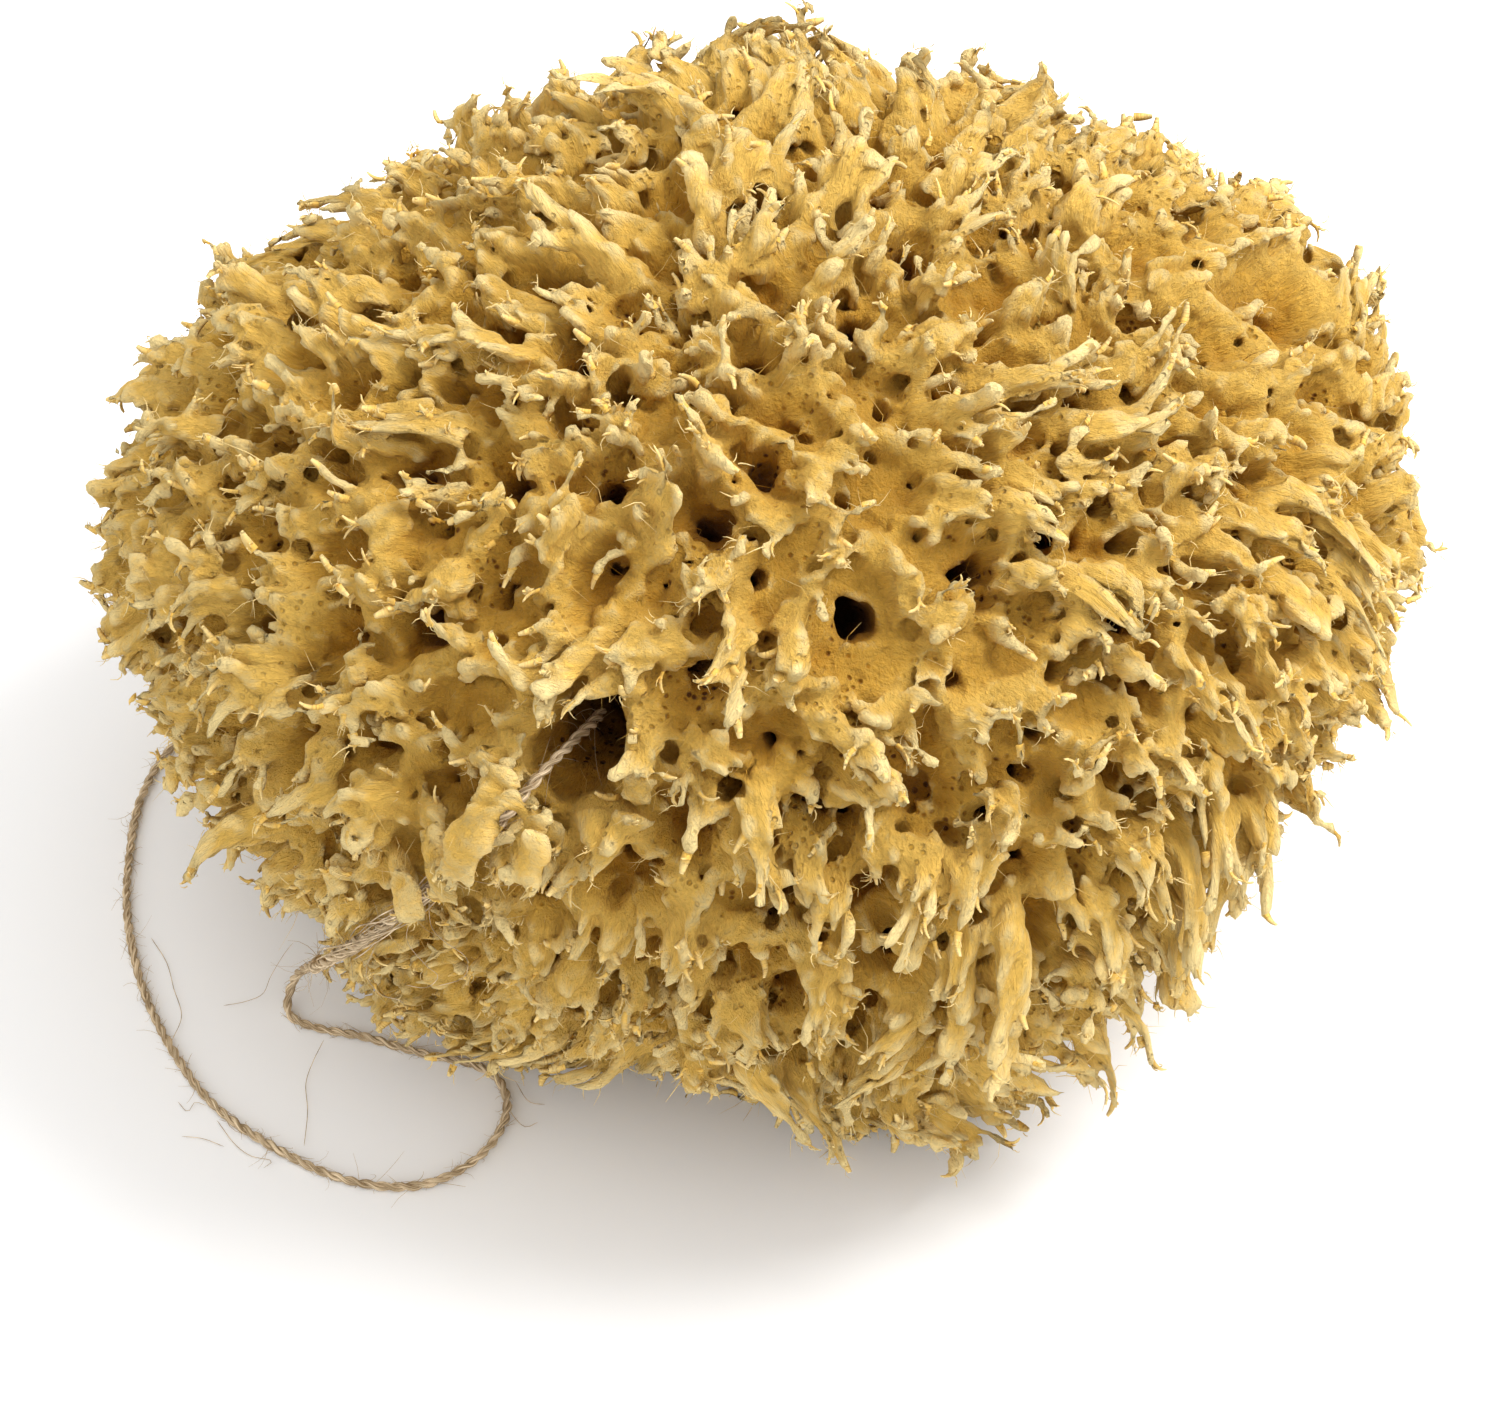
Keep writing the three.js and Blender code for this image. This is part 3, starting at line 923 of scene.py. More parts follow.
def largest_island(count, faces):
    """Which points belong to the biggest connected piece. Labels spread along edges until they settle."""
    label = np.arange(count)
    start = faces.ravel()
    end = np.roll(faces, -1, axis=1).ravel()
    while True:
        lower = np.minimum(label[start], label[end])
        spread = label.copy()
        np.minimum.at(spread, start, lower)
        np.minimum.at(spread, end, lower)
        spread = spread[spread]
        if np.array_equal(spread, label):
            return label == np.bincount(label).argmax()
        label = spread


in_sponge = largest_island(len(corners), squares)
renumber = np.cumsum(in_sponge) - 1
squares = renumber[squares[in_sponge[squares[:, 0]]]]
corners = corners[in_sponge]
a, b, c = (corners[squares[:, i]] for i in range(3))
if np.einsum("ij,ij->", a, np.cross(b, c)) < 0:
    squares = squares[:, ::-1]
print("kept surface:", len(corners), "points,", len(squares), "squares")

# %% Thin the mesh
FLESH_TRIANGLES = 1_220_000
flesh = add_object("sponge_flesh", make_mesh("sponge_flesh", corners, squares))
thinning = flesh.modifiers.new("thin", "DECIMATE")
thinning.ratio = FLESH_TRIANGLES / (2 * len(squares))
thinned = bpy.data.meshes.new_from_object(flesh.evaluated_get(bpy.context.evaluated_depsgraph_get()))
thinned.calc_loop_triangles()
flesh_faces = np.zeros(len(thinned.loop_triangles) * 3, np.int32)
thinned.loop_triangles.foreach_get("vertices", flesh_faces)
flesh_faces = flesh_faces.reshape(-1, 3)
flesh_points = read_points(thinned)
bpy.data.objects.remove(flesh)
bpy.data.meshes.remove(thinned)
print("thinned surface:", len(flesh_points), "points,", len(flesh_faces), "triangles")


# %% [markdown]
# ## Thin rims and deep hollows
# Deep hollows get painted shade, darker and browner the more they are enclosed, and thin rims get a
# painted pale highlight. So each point of the mesh gets two numbers: how much flesh there is close by, and
# how much in the wider surroundings. They come from the field, softened a little and a lot, and the
# material reads them by name.

# %% Measure how enclosed each place is
EDGE_SOFTENING = 7
HOLLOW_SOFTENING = 44


def sample(values, points, cube):
    """Reads a field at points, blending the eight nearest cubes."""
    place = (points - field_low) / cube
    first = np.clip(place.astype(int), 0, np.array(values.shape) - 2)
    part = np.clip(place - first, 0, 1)
    result = np.zeros(len(points), np.float32)
    for corner in np.ndindex(2, 2, 2):
        at = first + corner
        weight = np.prod(np.where(corner, part, 1 - part), axis=1)
        result += values[at[:, 0], at[:, 1], at[:, 2]] * weight
    return result


solid = np.clip(0.5 - field / VOXEL, 0, 1)
edge = sample(soften(solid.copy(), EDGE_SOFTENING), flesh_points, VOXEL)
coarse_solid = solid[::2, ::2, ::2].copy()
soften(coarse_solid, HOLLOW_SOFTENING)
hollow = sample(coarse_solid, flesh_points, 2 * VOXEL)
for label, values in {"edge": edge, "hollow": hollow}.items():
    print(label, "percentiles:", np.percentile(values, [2, 10, 25, 50, 75, 90, 98]).round(2))

# %% [markdown]
# ## Bending and ridges
# The straight flesh is bent over in one go. Each point also keeps felt coordinates, which are short in
# the direction that a tuft grows. A pattern on them comes out stretched along the tufts, as the real
# fibres are. The first such pattern is a set of low ridges, pushed out of the surface as true relief.

# %% Bend it
FIBRE_STRETCH = 0.22
flesh_height = height_above_skin(flesh_points)
felt_ways = unit(flesh_points - GROWTH_CENTRE)
felt = (flesh_points - felt_ways * (flesh_height * (1 - FIBRE_STRETCH))[:, None]) * MM
bent = droop(flesh_points)
whole_mesh = make_mesh("sponge_whole", bent * MM, flesh_faces)
print("bent over by, mm:", np.linalg.norm(bent - flesh_points, axis=1).max().round(1))


# %% Raise ridges along the fibres
RIDGE_WIDTH = 2.1
RIDGE_HEIGHT = 0.65


def read_normals(mesh):
    """The way each vertex faces."""
    normals = np.zeros(len(mesh.vertices) * 3, np.float32)
    mesh.vertex_normals.foreach_get("vector", normals)
    return normals.reshape(-1, 3)


ridges = drift(felt / MM, RIDGE_WIDTH, 11)[:, 0] + 0.5 * drift(felt / MM, RIDGE_WIDTH * 0.55, 12)[:, 0]
moving = bent[:, 2] > BASE_THICKNESS
bent[moving] += (read_normals(whole_mesh) * (ridges * RIDGE_HEIGHT)[:, None])[moving]
bent[:, 2] = np.maximum(bent[:, 2], 0)
whole_mesh.vertices.foreach_set("co", (bent * MM).astype(np.float32).ravel())
whole_mesh.update()
normals = read_normals(whole_mesh)
print("ridges, mm:", (ridges * RIDGE_HEIGHT).min().round(2), "to", (ridges * RIDGE_HEIGHT).max().round(2))

# %% [markdown]
# ## Eight sectors
# A piece has to stay under 200,000 triangles, and the flesh has six times as many. The flesh has about
# 1.2 million triangles, so it is cut like a cake, into eight sectors. Each keeps the shading of the
# whole sponge along its cuts, so no seam shows.

# %% Cut it into pieces
SECTORS = ["front", "front_right", "right", "back_right", "back", "back_left", "left", "front_left"]
SECTOR_WIDTH = 360 / len(SECTORS)
middle = bent[flesh_faces].mean(axis=1)
bearing = np.degrees(np.arctan2(middle[:, 0], -middle[:, 1]))
sector_of = np.floor((bearing + SECTOR_WIDTH / 2) / SECTOR_WIDTH).astype(int) % len(SECTORS)
sponge_pieces = []
for number, sector in enumerate(SECTORS):
    used, faces = np.unique(flesh_faces[sector_of == number], return_inverse=True)
    mesh = make_mesh("sponge_" + sector, bent[used] * MM, faces.reshape(-1, 3))
    write_number(mesh, "edge", edge[used])
    write_number(mesh, "hollow", hollow[used])
    write_vector(mesh, "felt", felt[used])
    sponge_pieces.append(add_object("sponge_" + sector, mesh))
    mesh.normals_split_custom_set_from_vertices(normals[used])
    print("sponge_" + sector, len(mesh.polygons), "triangles")

# %% [markdown]
# ## Materials
# A material is a small formula of where a point is and how enclosed it is. The class below wraps an
# output of a node, so that the formula can be written as a Python sum instead of node by node.

# %% Write node trees as sums
MIX_FACTOR, MIX_FIRST, MIX_SECOND, MIX_COLOUR = 0, 6, 7, 2


class Wire:
    """An output of a node. A sum on wires adds the Math nodes that work it out."""

    def __init__(self, tree, output=None):
        self.tree = tree
        self.output = output

    def node(self, kind, settings=None, inputs=None, out=0):
        """Adds a node of any kind, and gives back one of its outputs as a wire."""
        made = self.tree.nodes.new(kind)
        for name, value in (settings or {}).items():
            setattr(made, name, value)
        for name, value in (inputs or {}).items():
            self.plug(made.inputs[name], value)
        return Wire(self.tree, made.outputs[out])

    def plug(self, socket, value):
        """Feeds a socket with a wire or with a plain value."""
        if isinstance(value, Wire):
            self.tree.links.new(value.output, socket)
        else:
            socket.default_value = value

    def sum(self, operation, *values):
        """A Math node, or a Vector Math node if a vector or a colour takes part."""
        flows = any(isinstance(v, Wire) and v.output.type in {"VECTOR", "RGBA"} for v in values)
        if flows:
            values = [(v, v, v) if isinstance(v, (int, float)) else v for v in values]
        kind = "ShaderNodeVectorMath" if flows else "ShaderNodeMath"
        return self.node(kind, {"operation": operation}, dict(enumerate(values)))

    def __add__(self, other):
        return self.sum("ADD", self, other)

    def __radd__(self, other):
        return self.sum("ADD", other, self)

    def __sub__(self, other):
        return self.sum("SUBTRACT", self, other)

    def __rsub__(self, other):
        return self.sum("SUBTRACT", other, self)

    def __mul__(self, other):
        return self.sum("MULTIPLY", self, other)

    def __rmul__(self, other):
        return self.sum("MULTIPLY", other, self)

    def __truediv__(self, other):
        return self.sum("DIVIDE", self, other)

    def __rtruediv__(self, other):
        return self.sum("DIVIDE", other, self)

    def rise(self, low, high):
        """A smooth step from 0 at low to 1 at high."""
        ends = {"Value": self, "From Min": low, "From Max": high}
        return self.node("ShaderNodeMapRange", {"interpolation_type": "SMOOTHSTEP"}, ends)

    def blend(self, first, second):
        """A colour that goes from the first to the second as this wire goes from 0 to 1."""
        ends = {MIX_FACTOR: self, MIX_FIRST: first, MIX_SECOND: second}
        return self.node("ShaderNodeMix", {"data_type": "RGBA"}, ends, out=MIX_COLOUR)


print("operators on wires: + - * /")


# %% Helpers for materials
def new_material(name):
    """A new material, with a wire to start sums from and the shader to end them in."""
    material = bpy.data.materials.new(name)
    material.use_nodes = True
    return material, Wire(material.node_tree), material.node_tree.nodes["Principled BSDF"]


def read_number(start, name):
    """A number that was kept for each vertex."""
    return start.node("ShaderNodeAttribute", {"attribute_name": name}, out="Fac")


def noise(start, place, size, detail=2.0, roughness=0.5):
    """Cloudy noise, with clouds about as wide as the size in metres."""
    settings = {"Vector": place, "Scale": 1 / size, "Detail": detail, "Roughness": roughness}
    return start.node("ShaderNodeTexNoise", None, settings, out="Fac")


def add_relief(start, shader, height, distance, strength=1.0):
    """Lets a wire stand out of the surface as fine relief."""
    settings = {"Strength": strength, "Distance": distance, "Height": height}
    start.plug(shader.inputs["Normal"], start.node("ShaderNodeBump", None, settings))


print("material helpers: new_material, read_number, noise, add_relief")

# %% [markdown]
# ## Dried sponge fibre
# The fibre is golden ochre and matt everywhere. Shade is painted into it, brown in the hollows, and a pale
# highlight is painted on thin rims. An image texture would need unwrapping, which is hopeless on such a
# shape. A formula of the two numbers kept on the mesh colours every hole and rim by itself. Fine noise on
# the felt coordinates gives the fibres, and small dark spots in patches paint the shade inside the finest
# pores.

# %% Sponge colours
# From light ochre to brown these colours are one fibre tone in painted light and shade, darker the more a
# place is enclosed. The cream is a painted highlight for thin rims, standing in for light through thin
# fibre.
SHADE_BROWN = (0.12, 0.035, 0.002, 1)
SHADE_DEEP_OCHRE = (0.40, 0.175, 0.010, 1)
OCHRE = (0.56, 0.31, 0.044, 1)
LIGHT = (0.66, 0.405, 0.085, 1)
RIM_LIGHT_CREAM = (0.78, 0.60, 0.27, 1)
FIBRE_WIDTH = 0.0007
PORE_SPACING = 0.0017
PATCH_WIDTH = 0.016
CLOUD_WIDTH = 0.03

sponge_fibre, start, shader = new_material("dried_sponge_fibre")
place = start.node("ShaderNodeTexCoord", out="Object")
hollow_wire = read_number(start, "hollow")
edge_wire = read_number(start, "edge")
felt_place = start.node("ShaderNodeAttribute", {"attribute_name": "felt"}, out="Vector")
clouds = noise(start, place, CLOUD_WIDTH)
fibres = noise(start, felt_place, FIBRE_WIDTH, 4, 0.7)
pore_spots = start.node("ShaderNodeTexVoronoi", None, {"Vector": place, "Scale": 1 / PORE_SPACING})
pore_patches = noise(start, place, PATCH_WIDTH).rise(0.48, 0.6)
# The pore spots are painted shade: dark dots where the inside of tiny pores would lie in shadow. The relief
# also presses them in as dents.
pores = (1 - pore_spots.rise(0.10, 0.32)) * pore_patches
# Painted shade: the colour darkens from light ochre to brown as a place gets more enclosed, with cloud and
# fibre noise and the pore spots added to the measure.
enclosed = hollow_wire + (clouds - 0.5) * 0.14 + (fibres - 0.5) * 0.14 + pores * 0.22
colour = enclosed.rise(0.30, 0.52).blend(LIGHT, OCHRE)
colour = enclosed.rise(0.50, 0.72).blend(colour, SHADE_DEEP_OCHRE)
colour = enclosed.rise(0.66, 0.84).blend(colour, SHADE_BROWN)
# Painted highlight: thin rims, where little flesh is close by, are lifted towards cream, standing in for
# light that shines through thin fibre.
thin = 1 - (edge_wire + (fibres - 0.5) * 0.3).rise(0.14, 0.42)
colour = thin.blend(colour, RIM_LIGHT_CREAM) * (0.58 + fibres * 0.94)
start.plug(shader.inputs["Base Color"], colour)
add_relief(start, shader, fibres - pores * 0.5, 0.0016)
print("sponge colour nodes:", len(sponge_fibre.node_tree.nodes))

# %% Sponge finish
shader.inputs["Roughness"].default_value = 0.95
shader.inputs["Specular IOR Level"].default_value = 0.08
shader.inputs["Sheen Weight"].default_value = 0.06
shader.inputs["Sheen Roughness"].default_value = 0.5
shader.inputs["Sheen Tint"].default_value = (1.0, 0.9, 0.65, 1)
for piece in sponge_pieces:
    piece.data.materials.append(sponge_fibre)
print("coloured pieces:", len(sponge_pieces))

# %% [markdown]
# ## Jute
# Jute is a bundle of pale and dark fibres that run along the yarn. The plies carry their run and their turn
# as numbers, so a noise that is long in the one and short in the other gives streaks that follow the twist.

# %% Jute
JUTE_DARK = (0.27, 0.18, 0.085, 1)
JUTE_LIGHT = (0.80, 0.63, 0.41, 1)
jute, start, shader = new_material("jute")
along_ply = read_number(start, "run")
around_ply = read_number(start, "around")
stripes = start.node("ShaderNodeCombineXYZ", None, {"X": along_ply * 0.25, "Y": around_ply * 9})
fibre_lines = noise(start, stripes, 1.0, 3.0)
start.plug(shader.inputs["Base Color"], fibre_lines.rise(0.35, 0.68).blend(JUTE_DARK, JUTE_LIGHT))
add_relief(start, shader, fibre_lines, 0.0002, 0.7)
shader.inputs["Roughness"].default_value = 0.8
twine.data.materials.append(jute)
print("jute nodes:", len(jute.node_tree.nodes))

# %% [markdown]
# ## Curled strands
# Frayed ends, torn fringes and loose hairs are all the same thing at different sizes: a thin strand that
# starts somewhere, sets off in some way and curls. So one Geometry Nodes tree makes them all. It puts a
# short straight line at every point, bends it into an arc by the vectors kept at that point, and gives it
# thickness. Only the points differ.

# %% Helpers for node trees
def new_tree(name, inputs):
    """A Geometry Nodes tree with named inputs. Gives back the tree and its inputs as wires."""
    tree = bpy.data.node_groups.new(name, "GeometryNodeTree")
    tree.interface.new_socket("Geometry", in_out="INPUT", socket_type="NodeSocketGeometry")
    tree.interface.new_socket("Geometry", in_out="OUTPUT", socket_type="NodeSocketGeometry")
    for label, (kind, value) in inputs.items():
        socket = tree.interface.new_socket(label, in_out="INPUT", socket_type="NodeSocket" + kind)
        if value is not None:
            socket.default_value = value
    entry = tree.nodes.new("NodeGroupInput")
    return tree, {socket.name: Wire(tree, socket) for socket in entry.outputs if socket.name}


def end_tree(geometry):
    """Leads a geometry out of its tree."""
    leave = geometry.tree.nodes.new("NodeGroupOutput")
    geometry.plug(leave.inputs[0], geometry)


def kept(start, name, kind="FLOAT"):
    """A value that each point carries, by name."""
    return start.node("GeometryNodeInputNamedAttribute", {"data_type": kind}, {"Name": name})


def carry(geometry, name, value, kind="FLOAT"):
    """Gives each point a value to carry."""
    return geometry.node("GeometryNodeStoreNamedAttribute", {"data_type": kind},
                         {"Geometry": geometry, "Name": name, "Value": value})


print("node tree helpers: new_tree, end_tree, kept, carry")

# %% The strand tree
FLOOR_CLEARANCE = 0.0007
ANYWHERE = -1
strands, given = new_tree("strands", {
    "Steps": ("Int", 5),
    "Sides": ("Int", 5),
    "Taper": ("Float", 0.7),
    "Flatness": ("Float", 0.3),
    "Material": ("Material", None),
})
line = given["Steps"].node("GeometryNodeCurvePrimitiveLine", None, {"End": (0, 0, 1)})
line = line.node("GeometryNodeResampleCurve", None, {"Curve": line, "Count": given["Steps"] + 1})
placed = line.node("GeometryNodeInstanceOnPoints", None, {"Points": given["Geometry"], "Instance": line})
real = placed.node("GeometryNodeRealizeInstances", None, {"Geometry": placed})
share = real.node("GeometryNodeSplineParameter")
upright = real.node("ShaderNodeCombineXYZ", None, {"Z": share})
root = real.node("GeometryNodeInputPosition") - upright
reach = kept(real, "length")
curl = kept(real, "curl")
set_off = kept(real, "way", "FLOAT_VECTOR")
bend = kept(real, "bend", "FLOAT_VECTOR")
angle = curl * share
sweep = set_off * (angle.sum("SINE", angle) / curl) + bend * ((1 - angle.sum("COSINE", angle)) / curl)
sweep = sweep + kept(real, "hook", "FLOAT_VECTOR") * (share * share * share)
real = carry(real, "felt", root + set_off * (reach * share * 0.3), "FLOAT_VECTOR")
above_floor = real.node("ShaderNodeVectorMath", {"operation": "MAXIMUM"},
                        {0: root + sweep * reach, 1: (ANYWHERE, ANYWHERE, FLOOR_CLEARANCE)})
real = real.node("GeometryNodeSetPosition", None, {"Geometry": real, "Position": above_floor})
width_way = real.node("ShaderNodeVectorMath", {"operation": "CROSS_PRODUCT"}, {0: set_off, 1: bend})
real = real.node("GeometryNodeSetCurveNormal", {"mode": "FREE"}, {"Curve": real, "Normal": width_way})
# The edge number halves along each strand, so the painted rim highlight grows towards its end.
real = carry(real, "edge", kept(real, "edge") * (1 - share * 0.5))
outline = real.node("GeometryNodeCurvePrimitiveCircle", None, {"Resolution": given["Sides"], "Radius": 1.0})
squash = real.node("ShaderNodeCombineXYZ", None,
                   {"X": 1 + given["Flatness"], "Y": 1 - given["Flatness"], "Z": 1.0})
outline = outline.node("GeometryNodeTransform", None, {"Geometry": outline, "Scale": squash})
thickness = kept(real, "girth") * (1 - given["Taper"] * share * share)
skin = real.node("GeometryNodeCurveToMesh", None,
                 {"Curve": real, "Profile Curve": outline, "Scale": thickness, "Fill Caps": True})
skin = skin.node("GeometryNodeRealizeInstances", None, {"Geometry": skin})
end_tree(skin.node("GeometryNodeSetMaterial", None, {"Geometry": skin, "Material": given["Material"]}))
print("strand tree nodes:", len(strands.nodes))


# %% Points for a tree, and the tree's result
CARRIED = ("way", "bend", "hook", "curl", "length", "girth")


def strand_points(name, **values):
    """A mesh of loose points, each carrying the values that the strand tree reads."""
    mesh = bpy.data.meshes.new(name)
    mesh.vertices.add(len(values["root"]))
    mesh.vertices.foreach_set("co", np.ascontiguousarray(values.pop("root"), np.float32).ravel())
    for label, array in values.items():
        kind = "FLOAT_VECTOR" if array.ndim == 2 else "FLOAT"
        layer = mesh.attributes.new(label, kind, "POINT")
        layer.data.foreach_set("vector" if array.ndim == 2 else "value", array.astype(np.float32).ravel())
    return mesh


def run_tree(name, source, tree, **values):
    """Runs a tree on a mesh, with its named inputs set, and keeps the result as a plain mesh."""
    holder = bpy.data.objects.new(name + "_source", source)
    scene.collection.objects.link(holder)
    modifier = holder.modifiers.new("tree", "NODES")
    modifier.node_group = tree
    for item in tree.interface.items_tree:
        if item.in_out == "INPUT" and item.name in values:
            modifier[item.identifier] = values[item.name]
    mesh = bpy.data.meshes.new_from_object(holder.evaluated_get(bpy.context.evaluated_depsgraph_get()))
    bpy.data.objects.remove(holder)
    for label in CARRIED:
        layer = mesh.attributes.get(label)
        if layer:
            mesh.attributes.remove(layer)
    piece = add_object(name, mesh)
    print(name, sum(len(face.vertices) - 2 for face in mesh.polygons), "triangles")
    return piece


print("values that a strand's point carries:", *CARRIED)

# %% [markdown]
# ## Frayed ends
# Each prong of the real sponge ends in frays: flat, curled ribbons of fibre, a millimetre wide and two or
# three long. The prongs' ends were noted while the flesh was straight, so they're bent over by the same
# formula first. Some prongs were cut off later, by a canal or with a loose scrap. Their frays would float
# in the air, so an end counts only if the finished flesh is right beside it and behind it.

# %% Which prongs still have a root
ROOT_REACH = 1.1
ROOT_DEPTH = 0.8
prong_root = np.array(prong_ends["root"])
prong_way = np.array(prong_ends["way"])
near_flesh = KDTree(len(flesh_points))
for number, point in enumerate(flesh_points.tolist()):
    near_flesh.insert(point, number)
near_flesh.balance()
distance = np.array([near_flesh.find(point)[2] for point in prong_root.tolist()])
flesh_behind = sample(solid, prong_root - prong_way * ROOT_DEPTH, VOXEL)
rooted = np.flatnonzero((distance < ROOT_REACH) & (flesh_behind > 0.5))
# The hollow number at each prong's root gives its frays and fringe the painted shade of the flesh round
# them.
prong_hollow = sample(coarse_solid, prong_root, 2 * VOXEL)
print("prongs with a root:", len(rooted), "of", len(prong_root))

# %% Frays
LONG_FRAY = (1.8, 3.8)
SHORT_FRAY = (0.6, 1.8)
# The edge number gives the frays some painted rim highlight, more towards their ends.
FRAY_EDGE = 0.40
every = np.repeat(rooted, 2)
count = len(every)
is_main = np.tile([True, False], len(rooted))
scatter_size = np.where(is_main, 0.1, 0.3)[:, None]
fray_way = unit(prong_way[every] + rng.normal(0, 1, (count, 3)) * scatter_size)
fray_root = droop(prong_root[every])
fray_way = unit(droop(prong_root[every] + fray_way) - fray_root)
fray_root = fray_root - fray_way * np.where(is_main, 1.0, 0.2)[:, None]
fray_root = fray_root + rng.normal(0, 0.5, (count, 3)) * scatter_size
fray_bend = unit(np.array(prong_ends["bend"])[every] + rng.normal(0, 0.2, (count, 3)))
fray_bend = unit(fray_bend - fray_way * np.sum(fray_bend * fray_way, axis=1, keepdims=True))
fray_curl = rng.uniform(0.3, 1.7, count)
fray_length = np.where(is_main, rng.uniform(*LONG_FRAY, count), rng.uniform(*SHORT_FRAY, count))
fray_girth = np.array(prong_ends["girth"])[every]
fray_girth = fray_girth * np.where(is_main, rng.uniform(0.42, 0.52, count), rng.uniform(0.2, 0.34, count))
sponge_fingers = []
for side, chosen in {"left": fray_root[:, 0] < 0, "right": fray_root[:, 0] >= 0}.items():
    points = strand_points(
        "fray_points", root=fray_root[chosen] * MM, way=fray_way[chosen], bend=fray_bend[chosen],
        hook=np.zeros((chosen.sum(), 3)), curl=fray_curl[chosen], length=fray_length[chosen] * MM,
        girth=fray_girth[chosen] * MM, edge=np.full(chosen.sum(), FRAY_EDGE),
        hollow=prong_hollow[every][chosen])
    sponge_fingers.append(run_tree("sponge_fingers_" + side, points, strands, Steps=4, Sides=4, Taper=0.55,
                                   Flatness=0.45, Material=sponge_fibre))

# %% [markdown]
# ## Torn fringe
# Between the frays stand torn fibres, one to three tenths of a millimetre thick. They grow from the same
# ends and from the same tree, only thinner, round, and in more directions.

# %% Torn fringe
FRINGES = 6000
FRINGE_LENGTH = (0.6, 2.2)
FRINGE_RADIUS = (0.06, 0.14)
# A low edge number gives the fringe a strong painted rim highlight.
PALE_EDGE = 0.2
every = rng.choice(rooted, FRINGES)
fringe_way = unit(prong_way[every] + rng.normal(0, 0.5, (FRINGES, 3)))
fringe_root = droop(prong_root[every]) + fringe_way * 0.8 + rng.normal(0, 0.3, (FRINGES, 3))
fringe_length = rng.uniform(*FRINGE_LENGTH, FRINGES)
low = fringe_root[:, 2] + fringe_way[:, 2] * fringe_length < 0.3
fringe_way[low, 2] = np.abs(fringe_way[low, 2])
points = strand_points(
    "fringe_points", root=fringe_root * MM, way=fringe_way, bend=unit(rng.normal(0, 1, (FRINGES, 3))),
    hook=rng.normal(0, 0.3, (FRINGES, 3)), curl=rng.uniform(0.4, 2.4, FRINGES), length=fringe_length * MM,
    girth=rng.uniform(*FRINGE_RADIUS, FRINGES) * MM, edge=np.full(FRINGES, PALE_EDGE),
    hollow=prong_hollow[every])
sponge_fringe = run_tree("sponge_fringe", points, strands, Steps=3, Sides=3, Taper=0.7, Flatness=0.0,
                         Material=sponge_fibre)

# %% [markdown]
# ## Loose hairs on the felt
# The dried fibre is never quite smooth: fine hairs stand off it everywhere, most of all along thin edges.
# A second tree scatters points over the flesh, gives each a way to go, and hands them to the strand tree.

# %% The fuzz tree
fuzz_tree, given = new_tree("fuzz", {
    "Density": ("Float", 100_000.0),
    "Seed": ("Int", 5),
    "Length": ("Float", 0.002),
    "Girth": ("Float", 0.00005),
    "Material": ("Material", None),
})
thin_places = 1 - kept(given["Seed"], "edge").rise(0.15, 0.5) * 0.8
scatter = given["Seed"].node("GeometryNodeDistributePointsOnFaces", {"distribute_method": "RANDOM"},
                             {"Mesh": given["Geometry"], "Seed": given["Seed"],
                              "Density": given["Density"] * thin_places})
face_way = Wire(fuzz_tree, scatter.output.node.outputs["Normal"])


def any_vector(start, spread, seed):
    """A random vector for each point."""
    ends = {0: (-spread,) * 3, 1: (spread,) * 3, "Seed": seed}
    return start.node("FunctionNodeRandomValue", {"data_type": "FLOAT_VECTOR"}, ends)


def any_number(start, low, high, seed):
    """A random number for each point."""
    ends = {2: low, 3: high, "Seed": seed}
    return start.node("FunctionNodeRandomValue", {"data_type": "FLOAT"}, ends, out=1)


scatter = carry(scatter, "way", face_way * 0.5 + any_vector(scatter, 0.9, 1), "FLOAT_VECTOR")
scatter = carry(scatter, "bend", any_vector(scatter, 0.8, 2), "FLOAT_VECTOR")
scatter = carry(scatter, "hook", any_vector(scatter, 0.8, 3), "FLOAT_VECTOR")
scatter = carry(scatter, "curl", any_number(scatter, 0.4, 2.5, 6))
scatter = carry(scatter, "length", given["Length"] * any_number(scatter, 0.4, 1.6, 4))
scatter = carry(scatter, "girth", given["Girth"] * any_number(scatter, 0.6, 1.4, 5))
hairs = scatter.node("GeometryNodeGroup", {"node_tree": strands}, {
    "Geometry": scatter, "Steps": 2, "Sides": 3, "Taper": 0.8, "Flatness": 0.0,
    "Material": given["Material"]})
end_tree(hairs)
print("fuzz tree nodes:", len(fuzz_tree.nodes))

# %% Fuzz
# The fuzz carries the same two numbers, so its hairs take the painted shade of the hollows and the painted
# highlight of thin rims.
write_number(whole_mesh, "edge", edge)
write_number(whole_mesh, "hollow", hollow)
sponge_fuzz = run_tree("sponge_fuzz", whole_mesh, fuzz_tree, Density=90_000.0, Seed=5, Length=0.0022,
                       Girth=0.00006, Material=sponge_fibre)

# %% [markdown]
# ## Worn twine
# Jute sheds fine hairs all along, more where it is worn. Below the notch whole yarns have come loose and
# wind round the plies, and a few long hairs lie on the floor and hang over the flesh. The short hairs come
# from the strand tree. The long ones are thin tubes, those on the floor along listed routes.

